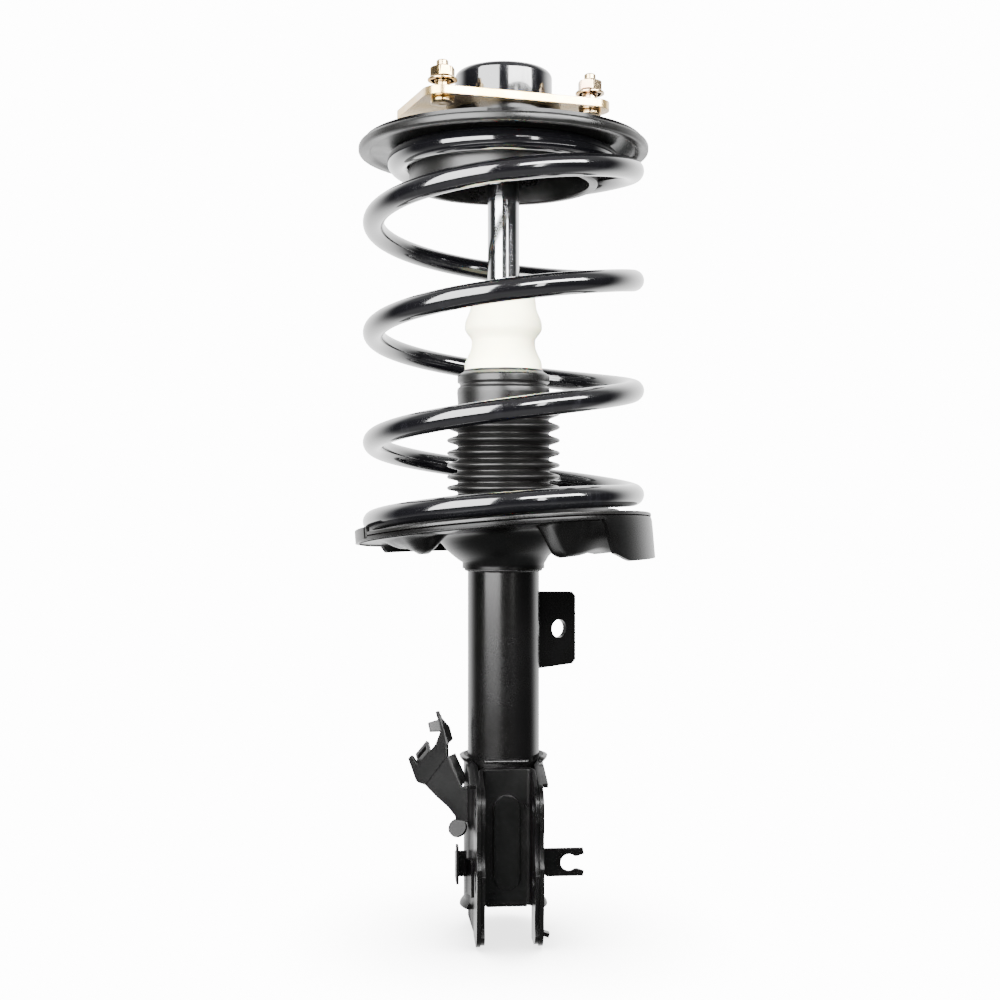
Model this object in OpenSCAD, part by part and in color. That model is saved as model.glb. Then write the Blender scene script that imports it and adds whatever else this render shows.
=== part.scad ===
// Front suspension strut assembly: damper, coil spring, spring seats, swivel bearing and top mount.
// Millimetres. Z runs up along the piston rod; Z = 0 is the mount plate's top face.
// The knuckle clevis opens towards -Y, and the whole model is drawn at full extension.

/* [Mount plate] */
// Thickness of the mount plate
plate_t = 5.5; // [4.5:0.25:6.5]
// Diameter of the circle through the three studs
stud_pcd = 122; // [116:1:130]
// Bearing angle of the first stud
stud_turn = -12; // [-20:1:-4]
// Corner radius of the plate round each stud
lobe_r = 13.5; // [12.5:0.25:16]
// Distance from the axis to the centre of the plate's side wing
wing_reach = 61; // [55:1:66]
// Bearing angle of the side wing
wing_turn = 170.5; // [166:0.5:176]
// Corner radius of the side wing
wing_r = 15; // [12:0.5:17]
// How far the front edge bulges past a straight line
nose_bulge = 0.5; // [0.1:0.1:3]

/* [Mount cup and bush] */
// Outer radius of the pressed cup
cup_r = 34; // [31:0.5:37]
// Height of the cup above the plate
cup_h = 24.3; // [24:0.1:30]
// Sheet thickness of the cup
cup_wall = 2.5; // [2:0.25:3]
// Radius of the cup's top edge
cup_edge_r = 5; // [4:0.5:9]
// Radius of the cup's open mouth
cup_mouth_r = 17; // [14:0.5:20]
// Outer radius of the bush's steel sleeve
sleeve_r = 12; // [10.5:0.25:14]
// Length of the sleeve between its washers
sleeve_len = 18; // [16:0.5:19]
// Thickness of the washer at each end of the sleeve
washer_t = 2.5; // [1.5:0.25:3]
// Radius of the washers
washer_r = 16; // [14:0.5:16.5]

/* [Studs and nuts] */
// Radius of the stud's plain neck above the plate
stud_r = 5; // [4.5:0.1:5.5]
// Radius of the stud's thread, at its pitch line
stud_thread_r = 4.55; // [4:0.05:4.6]
// Radius of the stud's pilot tip
stud_tip_r = 4; // [3:0.1:4]
// Height of the stud above the plate
stud_h = 20; // [19:0.5:30]
// Height of the stud's pilot tip
stud_tip_h = 3.5; // [2:0.5:4]
// Radius of the stud's round head
stud_head_r = 8; // [7:0.25:9]
// Thickness of the stud's head
stud_head_t = 3.5; // [2.5:0.25:4.5]
// Size of the flange nuts across their flats
nut_af = 15; // [13:0.5:16]
// Height of the flange nuts
nut_h = 9; // [8:0.5:10.5]
// Radius of the nuts' flange
nut_flange_r = 10; // [9.4:0.1:11]
// Gap left under the nuts for the body panel
nut_lift = 6; // [4.5:0.25:6.5]
// Size of the rod nut across its flats
rod_nut_af = 19; // [17:0.5:21]
// Height of the rod nut
rod_nut_h = 8.5; // [7:0.25:9]

/* [Swivel bearing] */
// Radius of the bearing's ball circle
ball_ring_r = 33; // [31:0.25:33.5]
// Radius of a ball
ball_r = 3.15; // [2.9:0.05:3.5]
// Number of balls
ball_count = 20; // [12:1:22]
// Radial width of the races to each side of the ball circle
race_half_w = 5; // [4.5:0.1:6]
// Thickness of a race behind the balls' tops
race_t = 4.5; // [4.3:0.1:6]
// Running clearance between balls and grooves
ball_clear = 0.06; // [0.03:0.01:0.1]
// Thickness of the dust skirt round the upper race
skirt_wall = 1.5; // [1.2:0.1:2]

/* [Upper spring seat] */
// Outer radius of the steel upper seat
upper_seat_r = 97; // [94:0.5:100]
// Sheet thickness of the upper seat
upper_seat_t = 3; // [2.5:0.25:3.5]
// Drop from the hub's top face to the rim's top face
upper_seat_drop = 4; // [3:0.25:8]
// Radius of the hole through the hub
hub_hole_r = 18; // [15:0.5:22]
// Outer radius of the rubber seat
rubber_seat_r = 101; // [100.5:0.5:104]
// Thickness of the rubber seat's flange
rubber_seat_t = 3.5; // [2.5:0.25:5]
// Depth of the rubber collar inside the top coil
collar_depth = 24; // [18:1:30]
// Wall of the rubber collar
collar_wall = 6; // [4:0.5:8]

/* [Coil spring] */
// Diameter of the spring wire
wire_d = 15; // [13:0.25:16]
// Radius of the wire's centre line in the working coils
coil_r = 90.5; // [88:0.5:92]
// Radius of the wire's centre line in the closed top coil
top_coil_r = 73.5; // [71:0.5:76]
// Bearing angle of the lower end of the wire
coil_start = -290; // [-320:5:-260]
// Angle at which the wire leaves the lower seat
coil_leave = -10; // [-25:5:15]
// Angle at which the wire reaches the upper seat
coil_meet = 1104; // [1085:1:1125]
// Angle of the upper end of the wire
coil_end = 1425; // [1395:5:1440]

/* [Lower spring seat] */
// Depth of the lower seat's centre below the plate's top face
seat_depth = 294; // [288:1:300]
// Tilt of the lower seat
seat_tilt = 6.4; // [5:0.1:7.5]
// Bearing angle of the lower seat's highest side
seat_high_turn = -46.7; // [-60:0.1:-30]
// Radius of the lower seat's rim
rim_r = 103.5; // [101:0.5:107]
// Sheet thickness of the lower seat
seat_t = 2.8; // [2.4:0.1:3.2]
// Radius at which the flat rim turns down into the bowl
bowl_r = 52; // [49:0.5:56]
// Depth of the bowl below the rim
bowl_depth = 20; // [18:0.5:23]
// Height of the welded collar below the bowl
seat_collar_h = 5; // [3:0.5:8]
// Drop from the lower seat's centre to the guard skirt's lower edge
guard_drop = 19.5; // [15:0.5:24]
// Angle at which the guard skirt starts, on the front right
guard_from = -42; // [-50:1:-35]
// Angle at which the guard skirt fades out, on the left
guard_to = 150; // [140:1:185]
// Height of the stop lip on the left of the rim
lip_h = 6; // [4:0.5:9]
// Radius of the drain hole
drain_r = 2.2; // [1.5:0.1:3]
// Thickness of the rubber pad under the coil
pad_t = 2.4; // [2:0.1:3.5]
// Outer radius of the rubber pad
pad_r = 99; // [98.5:0.25:100]

/* [Damper] */
// Radius of the damper tube
tube_r = 25; // [24.5:0.1:25.5]
// Wall of the damper tube
tube_wall = 2.2; // [1.8:0.1:2.6]
// Length of the tube below the lower bolt hole
tube_drop = 19; // [16:0.5:21]
// Height of the gland cap's top face above the lower seat's centre
cap_rise = 97; // [94:0.5:99]
// Radius of the piston rod
rod_r = 11; // [10:0.25:11.5]
// Radius of the rod's threaded end
rod_thread_r = 7; // [6:0.25:7.5]
// Running clearance of the rod and the piston
run_clear = 0.04; // [0.02:0.01:0.08]
// Inner radius of the pressure cylinder
bore_r = 15; // [14.5:0.25:16]
// Wall of the pressure cylinder
cylinder_wall = 1.5; // [1.2:0.1:2]
// Height of the rod guide
guide_h = 20; // [16:0.5:24]
// Height of the rebound stop
rebound_h = 9; // [6:0.5:12]
// Height of the piston
piston_h = 14; // [12:0.5:18]
// Height of the piston's seal band
band_h = 8; // [6:0.5:9]

/* [Bump stop and boot] */
// Height of the bump stop
bump_h = 70.7; // [65:0.1:75]
// Radius of the bump stop's nose
bump_nose_r = 19; // [16:0.5:21]
// Radius of the bump stop's body
bump_r = 27; // [26:0.25:28]
// Depth of the groove round the bump stop
bump_groove = 4.5; // [3:0.5:7]
// Height of the boot's top above the gland cap
boot_rise = 13.6; // [11:0.2:16]
// Radius of the boot's collar
boot_collar_r = 32.2; // [31.5:0.1:34]
// Outer radius of the boot's ribs
boot_rib_r = 39.5; // [38:0.5:41]
// Radius of the valleys between the ribs
boot_valley_r = 32; // [31:0.25:33]
// Radial wall of the boot
boot_wall = 2.4; // [2:0.1:2.8]
// Number of ribs
boot_ribs = 9; // [7:1:9]
// Spacing of the ribs at the top
rib_pitch_top = 9.6; // [8.6:0.1:9.8]
// Spacing of the ribs at the bottom
rib_pitch_low = 7; // [6:0.1:7.4]

/* [Knuckle clevis] */
// Turn of the clevis about the tube
clevis_turn = 4.5; // [-5:0.1:8]
// Sheet thickness of the clevis and its reinforcement
clevis_t = 2.8; // [2.5:0.1:3.2]
// Free gap between the reinforcement's flanges
clevis_gap = 33.2; // [30:0.2:34]
// Height of the wrap's upper edge above the upper bolt hole
wrap_rise = 28; // [25:0.5:31]
// Drop from the lower bolt hole to the wrap's lower edge
wrap_drop = 27; // [24:0.5:29]
// How far the wrap's edges flare outwards
flare = 3; // [2:0.25:4]
// Drop from the lower seat's centre to the upper bolt hole
bolt_drop = 185; // [180:0.5:190]
// Spacing of the two bolt holes
bolt_pitch = 50; // [46:0.5:52]
// Distance from the tube's axis to the bolt holes
bolt_reach = 45; // [43:0.5:48]
// Radius of the bolt holes
bolt_r = 7.1; // [6:0.1:8.1]
// Radius of the ears round the bolt holes
ear_r = 16; // [14.5:0.25:17]
// Drop from the lower bolt hole to the legs' lower ends
leg_drop = 43; // [40:0.5:46]
// Height of the stamped bead in the reinforcement's web
bead_h = 64; // [50:1:70]
// Width of the stamped bead
bead_w = 18; // [14:0.5:20]
// Height of the stamped bead
bead_rise = 1.5; // [1:0.1:2]

/* [Link bracket] */
// Bearing angle of the stabiliser link bracket
link_turn = 36; // [28:1:44]
// Drop from the lower seat's centre to the link bracket's hole
link_drop = 72.4; // [66:0.2:76]
// Height of the link bracket at the tube
link_h = 55; // [50:1:60]
// Reach of the link bracket from the axis
link_reach = 63; // [60:0.5:66]
// Sheet thickness of the link bracket
link_t = 4; // [3:0.25:5]
// Distance from the axis to the link hole
link_hole_reach = 48; // [46:0.5:50]
// Radius of the link hole
link_hole_r = 6.5; // [5:0.1:7]

/* [Hose and wire brackets] */
// Sheet thickness of the hose bracket
hose_t = 2.5; // [2:0.1:3]
// Turn of the hose bracket's face away from the clevis opening
hose_turn = 28; // [22:1:34]
// Fold of the hose bracket's slotted tab
tab_fold = 32; // [20:1:50]
// Length of the hose slot
slot_len = 10; // [8:0.25:12]
// Width of the hose slot
slot_w = 4.2; // [3.5:0.1:5]
// Sheet thickness of the clip and wire brackets
clip_t = 1.8; // [1.5:0.1:2.5]
// Radius of the clip bracket's gripping opening
clip_r = 5.8; // [5:0.1:6.4]
// Distance from the axis to the clip opening
clip_reach = 44.5; // [43:0.5:47]
// Height of the clip opening above the lower bolt hole
clip_rise = 4; // [1:0.5:8]

/* [Hidden] */
$fn = 64;

seat_gap = 0.05;   // pressed, bonded and welded faces
touch_gap = 0.3;   // soft parts against what they rest on
fold_gap = 0.05;   // round corners drawn this much inside the faces they join
eps = 1;           // extra length of a cutting tool

rings_per_turn = 32;                  // rings and sides of the spring wire's skin
wire_sides = 12;

// Depths below the plate's top face
upper_bolt = seat_depth + bolt_drop;
lower_bolt = upper_bolt + bolt_pitch;
wrap_top = upper_bolt - wrap_rise;
wrap_foot = lower_bolt + wrap_drop;
leg_foot = lower_bolt + leg_drop;
tube_foot = lower_bolt + tube_drop;
link_depth = seat_depth + link_drop;
clip_depth = lower_bolt - clip_rise;

// Points on an arc round [x, y], from angle a to angle b in n steps
function arc(x, y, r, a, b, n) =
    [for (i = [0:n]) let (t = a + (b - a) * i / n) [x + r * cos(t), y + r * sin(t)]];

// Points of a smooth step from [x0, y0] to [x1, y1] in n steps
function ease(x0, y0, x1, y1, n) =
    [for (i = [0:n]) [x0 + (x1 - x0) * i / n, y0 + (y1 - y0) * (1 - cos(180 * i / n)) / 2]];

function unit(v) = v / norm(v);
function right_of(d) = [d[1], -d[0]];

// Unit direction of a line's leg i
function leg(p, i) = unit(p[i + 1] - p[i]);

// The same line moved t to its right, with mitred corners
function beside(p, t) = [for (i = [0:len(p) - 1])
    let (a = right_of(leg(p, max(i - 1, 0))), b = right_of(leg(p, min(i, len(p) - 2))))
    p[i] + (a + b) * t / (1 + a * b)];

function backwards(p) = [for (i = [len(p) - 1:-1:0]) p[i]];

// Outline of a sheet of thickness t whose left face is the line p
function sheet(p, t) = concat(p, backwards(beside(p, t)));

// Soft maximum of two heights, s above both where they cross
function soft_max(u, v, s) = (u + v) / 2 + sqrt(pow((u - v) / 2, 2) + s * s);

module turned(profile, from = 0, angle = 360) {
    rotate_extrude(angle = angle, start = from)
        polygon(profile);
}

module ring(outer, inner, low, high) {
    turned([[inner, low], [outer, low], [outer, high], [inner, high]]);
}

// A bolt, pin or hole of length h from z = low
module post(r, low, h) {
    translate([0, 0, low])
        cylinder(r = r, h = h);
}

module hexagon_post(flats, low, h) {
    translate([0, 0, low])
        cylinder(r = flats / 2 / cos(30), h = h, $fn = 6);
}

// ---- Mount plate, cup and bush ----

stud_angles = [for (i = [0:2]) stud_turn + 120 * i];
cup_bore_r = cup_r - cup_wall;

function on_circle(r, a) = [r * cos(a), r * sin(a)];

knurl_r = stud_r + 0.3;               // the studs' knurl, pressed into the plate

// Centres and radii of the plate's round corners, anticlockwise
stud_right = on_circle(stud_pcd / 2, stud_angles[0]);
stud_back = on_circle(stud_pcd / 2, stud_angles[1]);
stud_left = on_circle(stud_pcd / 2, stud_angles[2]);
nose_shift = 18;                      // the bulge's centre lies this far left of the edge's middle
nose = (stud_left + stud_right) / 2 - on_circle(nose_shift, stud_turn + 30)
    + on_circle(nose_bulge, stud_turn - 60);
plate_corners = [
    [stud_left, lobe_r],
    [nose, lobe_r],
    [stud_right, lobe_r],
    [stud_back, lobe_r],
    [on_circle(wing_reach, wing_turn), wing_r]
];

// Tangent points of the line that passes outside corners c and d, both kept on its left
function tangent(c, d) =
    let (v = d[0] - c[0], turn = atan2(v[1], v[0]) - acos((c[1] - d[1]) / norm(v)))
    [c[0] + on_circle(c[1], turn), d[0] + on_circle(d[1], turn)];

module rounded_plate(corners, t) {
    n = len(corners);
    linear_extrude(t)
        polygon([for (i = [0:n - 1]) each tangent(corners[i], corners[(i + 1) % n])]);
    for (c = corners)
        translate(c[0])
            cylinder(r = c[1] - fold_gap, h = t);
}

module at_studs() {
    for (a = stud_angles)
        translate(on_circle(stud_pcd / 2, a))
            children();
}

module mount_plate() {
    color("#c9b074")
        difference() {
            translate([0, 0, -plate_t])
                rounded_plate(plate_corners, plate_t);
            post(cup_bore_r, -plate_t - eps, plate_t + 2 * eps);
            at_studs()
                post(knurl_r + seat_gap, -plate_t - eps, plate_t + 2 * eps);
        }
}

// Outer face of the cup, from its foot up to its mouth
cup_line = concat(
    [[cup_r, 0]],
    arc(cup_r - cup_edge_r, cup_h - cup_edge_r, cup_edge_r, 0, 90, 8),
    [[cup_mouth_r, cup_h]]
);

module mount_cup() {
    color("#1c1c1f")
        turned(sheet(backwards(cup_line), cup_wall));
}

// Heights on the rod: its shoulder carries the sleeve, which stands a little below the plate
shoulder_z = -plate_t - 2;
sleeve_top_z = shoulder_z + sleeve_len;
rod_nut_z = sleeve_top_z + washer_t;
rod_top_z = rod_nut_z + rod_nut_h + 1.2;

module mount_rubber() {
    bond_r = sleeve_r + seat_gap;
    wall_r = cup_bore_r - seat_gap;
    low = shoulder_z + washer_t + seat_gap;
    high = sleeve_top_z - seat_gap;
    waist_r = (washer_r + wall_r) / 2;
    color("#26262a")
        turned([[bond_r, low], [washer_r, low], [waist_r, low + 2.5], [wall_r, low],
            [wall_r, high], [waist_r, high - 3], [washer_r, high], [bond_r, high]]);
}

module mount_sleeve() {
    color("#9a9ca0")
        difference() {
            union() {
                post(washer_r, shoulder_z, washer_t);
                post(sleeve_r, shoulder_z, sleeve_len);
            }
            post(rod_thread_r + seat_gap, shoulder_z - eps, sleeve_len + 2 * eps);
        }
}

module rod_washer() {
    color("#b8b9bb")
        ring(washer_r, rod_thread_r + seat_gap, sleeve_top_z, rod_nut_z);
}

module rod_nut() {
    color("#c7a85e")
        difference() {
            intersection() {
                hexagon_post(rod_nut_af, rod_nut_z, rod_nut_h);
                chamfered_post(rod_nut_af / 2 / cos(30), rod_nut_z, rod_nut_h);
            }
            post(rod_thread_r + seat_gap, rod_nut_z - eps, rod_nut_h + 2 * eps);
        }
}

// Cylinder whose top edge is chamfered, to take the corners off a nut
module chamfered_post(r, low, h) {
    turned([[0, low], [r, low], [r, low + h - r * 0.08], [r * 0.88, low + h], [0, low + h]]);
}

// ---- Studs and flange nuts ----

neck_h = nut_lift - 0.8;

module mount_studs() {
    color("#d8bd74")
        at_studs() {
            post(stud_head_r, -plate_t - stud_head_t, stud_head_t);
            post(knurl_r, -plate_t, plate_t);
            post(stud_r, -eps, eps + neck_h);
            post(stud_thread_r, neck_h, stud_h - stud_tip_h - neck_h);
            post(stud_tip_r, stud_h - stud_tip_h, stud_tip_h);
        }
}

module mount_nuts() {
    flange_t = 2;
    color("#d8bd74")
        at_studs()
            difference() {
                union() {
                    turned([[0, nut_lift], [nut_flange_r, nut_lift], [nut_flange_r, nut_lift + flange_t / 2],
                        [nut_af / 2, nut_lift + flange_t + 1], [0, nut_lift + flange_t + 1]]);
                    intersection() {
                        hexagon_post(nut_af, nut_lift, nut_h);
                        chamfered_post(nut_af / 2 / cos(30), nut_lift, nut_h);
                    }
                }
                post(stud_thread_r + seat_gap, nut_lift - eps, nut_h + 2 * eps);
            }
}

// ---- Swivel bearing ----

groove_r = ball_r + ball_clear;
ball_z = -plate_t - race_t - groove_r;
race_in_r = ball_ring_r - race_half_w;
race_out_r = ball_ring_r + race_half_w;
race_split = 2;                       // each race stops this far from the balls' centres
hub_top_z = ball_z - groove_r - race_t;
skirt_gap = 0.5;

module race(low, high, outer) {
    rotate_extrude()
        difference() {
            translate([race_in_r, low])
                square([outer - race_in_r, high - low]);
            translate([ball_ring_r, ball_z])
                circle(r = groove_r);
        }
}

module bearing_upper_race() {
    skirt_in_r = race_out_r + skirt_gap;
    color("#3a3b3e") {
        race(ball_z + race_split, -plate_t, skirt_in_r + skirt_wall);
        ring(skirt_in_r + skirt_wall, skirt_in_r, ball_z - race_split - 2, ball_z + race_split);
    }
}

module bearing_lower_race() {
    color("#6d6f73")
        race(hub_top_z, ball_z - race_split, race_out_r);
}

module at_balls() {
    for (i = [0:ball_count - 1])
        rotate([0, 0, 360 * i / ball_count])
            translate([ball_ring_r, 0, 0])
                children();
}

module bearing_balls() {
    color("#c4c6c9")
        at_balls()
            translate([0, 0, ball_z])
                sphere(r = ball_r);
}

module bearing_cage() {
    cage_h = 2.4;
    pocket_r = ball_r + 0.25;
    color("#b58b45")
        difference() {
            ring(ball_ring_r + pocket_r + 0.85, ball_ring_r - pocket_r - 0.85,
                ball_z - cage_h / 2, ball_z + cage_h / 2);
            at_balls()
                post(pocket_r, ball_z - cage_h, 2 * cage_h);
        }
}

// ---- Upper spring seat ----

wire_r = wire_d / 2;
seat_rim_z = hub_top_z - upper_seat_drop;
rubber_top_z = seat_rim_z - upper_seat_t;
rubber_foot_z = rubber_top_z - rubber_seat_t;
collar_out_r = top_coil_r * cos(180 / rings_per_turn) - wire_r - touch_gap;
collar_in_r = collar_out_r - collar_wall;
hub_r = race_out_r + 4;

module upper_spring_seat() {
    notch_w = 9;
    notch_turn = -93.5;
    color("#1b1b1e")
        difference() {
            turned(sheet(concat(
                [[hub_hole_r, hub_top_z]],
                ease(hub_r, hub_top_z, collar_in_r - upper_seat_t, seat_rim_z, 8),
                [[upper_seat_r, seat_rim_z]]
            ), upper_seat_t));
            rotate([0, 0, notch_turn])
                translate([upper_seat_r - 2, -notch_w / 2, rubber_top_z - eps])
                    cube([5, notch_w, upper_seat_t + 2 * eps]);
        }
}

module upper_rubber_seat() {
    lip = 1.5;
    collar_foot_z = rubber_foot_z - collar_depth;
    color("#232326")
        turned([
            [collar_in_r, rubber_top_z], [rubber_seat_r, rubber_top_z], [rubber_seat_r, rubber_foot_z + lip],
            [rubber_seat_r - lip, rubber_foot_z], [collar_out_r, rubber_foot_z],
            [collar_out_r, collar_foot_z + lip], [collar_out_r - lip, collar_foot_z],
            [collar_in_r + lip, collar_foot_z], [collar_in_r, collar_foot_z + lip]
        ]);
}

// ---- Lower spring seat ----

tilt_slope = tan(seat_tilt);

// The lower seat's own frame: its rim's top face is z = 0
module on_lower_seat() {
    translate([0, 0, -seat_depth])
        rotate([0, 0, seat_high_turn])
            rotate([0, -seat_tilt, 0])
                rotate([0, 0, -seat_high_turn])
                    children();
}

// Height of the lower seat's plane at a bearing angle and radius
function seat_plane(a, r) = -seat_depth + tilt_slope * r * cos(a - seat_high_turn);

collar_foot = seat_depth + bowl_depth + seat_t + seat_collar_h;

module guard_skirt() {
    skirt_drop = guard_drop + rim_r * tilt_slope + 2 * eps;
    bend = 0.3;                       // the skirt stands this far outside the rim's edge
    intersection() {
        on_lower_seat()
            turned([[rim_r - seat_t, -skirt_drop], [rim_r + bend, -skirt_drop], [rim_r + bend, -seat_t / 2],
                [rim_r - seat_t, -seat_t / 2]], guard_from, guard_to - guard_from);
        post(2 * rim_r, -seat_depth - guard_drop, seat_depth + guard_drop);
    }
}

// Pressed lumps under the rim: bearing, radius, length and how deep their middle lies
lumps = [[207, 12, 4, 0], [-40, 17, 5, 5.5]];

// One lump along its bearing, with round ends, inset from its outer face
module lump(l, inset) {
    rotate([0, 0, l[0]])
        translate([bowl_r + l[1], 0, -seat_t / 2 - l[3]]) {
            rotate([0, 90, 0])
                cylinder(r = l[1] - inset, h = l[2]);
            for (x = [0, l[2]])
                translate([x, 0, 0])
                    sphere(r = l[1] - inset);
        }
}

module lower_spring_seat() {
    lip_from = 135;
    lip_turn = 70;
    drain_turn = 185;
    drain_reach = pad_r - 11;
    collar_t = 1.2;
    color("#1a1a1c")
        difference() {
            union() {
                on_lower_seat() {
                    turned(sheet(concat(
                        [[tube_r - 3, -bowl_depth - 3.5]],
                        ease(bowl_r - 7, -4, bowl_r + 1, 0, 4),
                        [[rim_r, 0]]
                    ), seat_t));
                    difference() {
                        for (l = lumps)
                            lump(l, 0);
                        post(rim_r, -seat_t / 2, bowl_r);
                    }
                    turned([[rim_r - seat_t, -seat_t / 2], [rim_r, -seat_t / 2], [rim_r, lip_h],
                        [rim_r - seat_t, lip_h]], lip_from, lip_turn);
                }
                guard_skirt();
                ring(tube_r + collar_t + seat_gap, tube_r - eps, -collar_foot, -seat_depth - bowl_depth + eps);
            }
            post(tube_r + seat_gap, -collar_foot - eps, bowl_depth + seat_depth);
            on_lower_seat() {
                for (l = lumps)
                    lump(l, seat_t);
                rotate([0, 0, drain_turn])
                    translate([drain_reach, 0, 0])
                        post(drain_r, -seat_t - eps, seat_t + 2 * eps);
            }
        }
}

module lower_rubber_pad() {
    ridge_r = coil_r - wire_r - 2 * touch_gap;
    ridge_h = pad_t + 4;
    color("#202023")
        on_lower_seat()
            turned([[ridge_r - 5, 0], [pad_r, 0], [pad_r, pad_t], [ridge_r + 2, pad_t],
                [ridge_r - 1, ridge_h], [ridge_r - 4, ridge_h], [ridge_r - 5, ridge_h - 1]]);
}

// ---- Coil spring ----

coil_top_z = rubber_foot_z - wire_r - touch_gap;
function resting_z(a) = seat_plane(a, coil_r) + (pad_t + wire_r) / cos(seat_tilt);
coil_rate = (coil_top_z - resting_z(coil_leave)) / (coil_meet - coil_leave);
function running_z(a) = resting_z(coil_leave) + coil_rate * (a - coil_leave);
seat_ease = 5.5;                      // how softly the wire leaves the lower seat and meets the upper one
top_ease = 2;
function coil_z(a) = -soft_max(-soft_max(resting_z(a), running_z(a), seat_ease), -coil_top_z, top_ease);

// The top coil is drawn in over half a turn, which ends half a turn before the wire does
draw_in = 180;
draw_from = coil_end - 345;
function drawn(a) = min(max((a - draw_from) / draw_in, 0), 1);
function coil_radius(a) = coil_r + (top_coil_r - coil_r) * (1 - cos(180 * drawn(a))) / 2;
function coil_point(a) = [coil_radius(a) * cos(a), coil_radius(a) * sin(a), coil_z(a)];

coil_rings = round((coil_end - coil_start) / 360 * rings_per_turn);
coil_angles = [for (i = [0:coil_rings]) coil_start + (coil_end - coil_start) * i / coil_rings];
coil_points = [for (a = coil_angles) coil_point(a)];

// One ring of the wire's skin, square to its run
function wire_ring(a) =
    let (
        run = unit(coil_point(a + 0.5) - coil_point(a - 0.5)),
        out = [cos(a), sin(a), 0],
        side = unit(out - (out * run) * run),
        up = cross(run, side)
    )
    [for (j = [0:wire_sides - 1])
        coil_point(a) + wire_r * (cos(360 * j / wire_sides) * side + sin(360 * j / wire_sides) * up)];

// Distance between the skins of turns that lie over each other
coil_gap = min([for (i = [0:coil_rings]) for (j = [i + round(rings_per_turn * 0.6):1:coil_rings])
    norm(coil_points[i] - coil_points[j])]) - wire_d;
echo(str("Least gap of the coil spring to itself: ", coil_gap, " mm"));

module coil_spring() {
    last = coil_rings * wire_sides;
    skin = [for (i = [0:coil_rings - 1]) for (j = [0:wire_sides - 1])
        let (a = i * wire_sides + j, b = i * wire_sides + (j + 1) % wire_sides)
        each [[a, b, b + wire_sides], [a, b + wire_sides, a + wire_sides]]];
    ends = [for (j = [1:wire_sides - 2]) each [[0, j + 1, j], [last, last + j, last + j + 1]]];
    color("#151518")
        polyhedron(points = [for (a = coil_angles) each wire_ring(a)], faces = concat(skin, ends));
}

// ---- Bump stop and boot ----

cap_top_z = -seat_depth + cap_rise;

// Smooth step in radius from [r0, z0] to [r1, z1]
function swell(r0, z0, r1, z1, n) = [for (p = ease(z0, r0, z1, r1, n)) [p[1], p[0]]];

module bump_stop() {
    hole_r = rod_r + touch_gap;
    foot_z = cap_top_z + touch_gap;
    top_z = foot_z + bump_h;
    head_z = top_z - 28;
    groove_z = top_z - 38;
    neck_r = bump_r - bump_groove;
    color("#f1edd8")
        turned(concat(
            [[hole_r, foot_z], [bump_r, foot_z]],
            swell(bump_r, groove_z - 14, neck_r, groove_z, 6),
            swell(neck_r + 1, groove_z + 1, bump_r, head_z, 6),
            swell(bump_r - 0.2, head_z + 1, bump_nose_r, top_z - 3, 6),
            [[bump_nose_r - 0.8, top_z - 1], [bump_nose_r - 3, top_z], [hole_r, top_z]]
        ));
}

boot_top_z = cap_top_z + boot_rise;

// Height of rib i, the spacing shrinking steadily from the top down
first_rib_drop = 30.2;
function rib_z(i) = boot_top_z - first_rib_drop - i * rib_pitch_top
    - (rib_pitch_low - rib_pitch_top) * i * (i - 1) / 2 / (boot_ribs - 2);
function valley_z(i) = (rib_z(i) + rib_z(i + 1)) / 2;

module dust_boot() {
    top_z = boot_top_z;
    grip_r = bump_r + touch_gap;
    neck_r = boot_valley_r - 1.5;
    cuff_r = tube_r + touch_gap + boot_wall;
    foot_z = rib_z(boot_ribs - 1) - 12;
    // Outer radius, inner radius and height of each corner, from the top down
    wall = concat(
        [[boot_collar_r - 3.3, grip_r, top_z], [boot_collar_r, grip_r, top_z - 3],
            [boot_collar_r, grip_r, top_z - 9], [neck_r, grip_r, top_z - 10],
            [neck_r, neck_r - boot_wall, top_z - 12]],
        [for (z = [14, 19.5]) [boot_collar_r, boot_collar_r - boot_wall, top_z - z]],
        [[boot_valley_r, boot_valley_r - boot_wall, top_z - 22],
            [boot_valley_r, boot_valley_r - boot_wall, rib_z(0) + 4.5]],
        [for (i = [0:boot_ribs - 1]) each concat(
            [for (z = [0.8, -0.8]) [boot_rib_r, boot_rib_r - boot_wall, rib_z(i) + z]],
            i == boot_ribs - 1 ? [] :
                [for (z = [0.6, -0.6]) [boot_valley_r, boot_valley_r - boot_wall, valley_z(i) + z]])],
        [for (z = [foot_z + 7, foot_z]) [cuff_r, cuff_r - boot_wall, z]]
    );
    color("#1d1d1f")
        turned(concat([for (w = wall) [w[0], w[2]]], [for (w = backwards(wall)) [w[1], w[2]]]));
}

// ---- Damper ----

tube_in_r = tube_r - tube_wall;
cap_t = 2.5;
seal_h = 6;
spigot_h = 8;
tube_top_z = cap_top_z - cap_t;
guide_top_z = tube_top_z - seal_h;
guide_foot_z = guide_top_z - guide_h;
cylinder_top_z = guide_foot_z + spigot_h;
cylinder_r = bore_r + cylinder_wall;
end_cap_t = 4;
valve_foot_z = -tube_foot + end_cap_t;
valve_top_z = valve_foot_z + 14;
rebound_foot_z = guide_foot_z - touch_gap - rebound_h;
piston_top_z = rebound_foot_z - 3;
piston_foot_z = piston_top_z - piston_h;
piston_nut_h = 9;

module ports(count, circle_r, low, h) {
    port_r = 1.2;
    for (i = [0:count - 1])
        rotate([0, 0, 360 * i / count])
            translate([circle_r, 0, 0])
                post(port_r, low, h);
}

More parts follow.
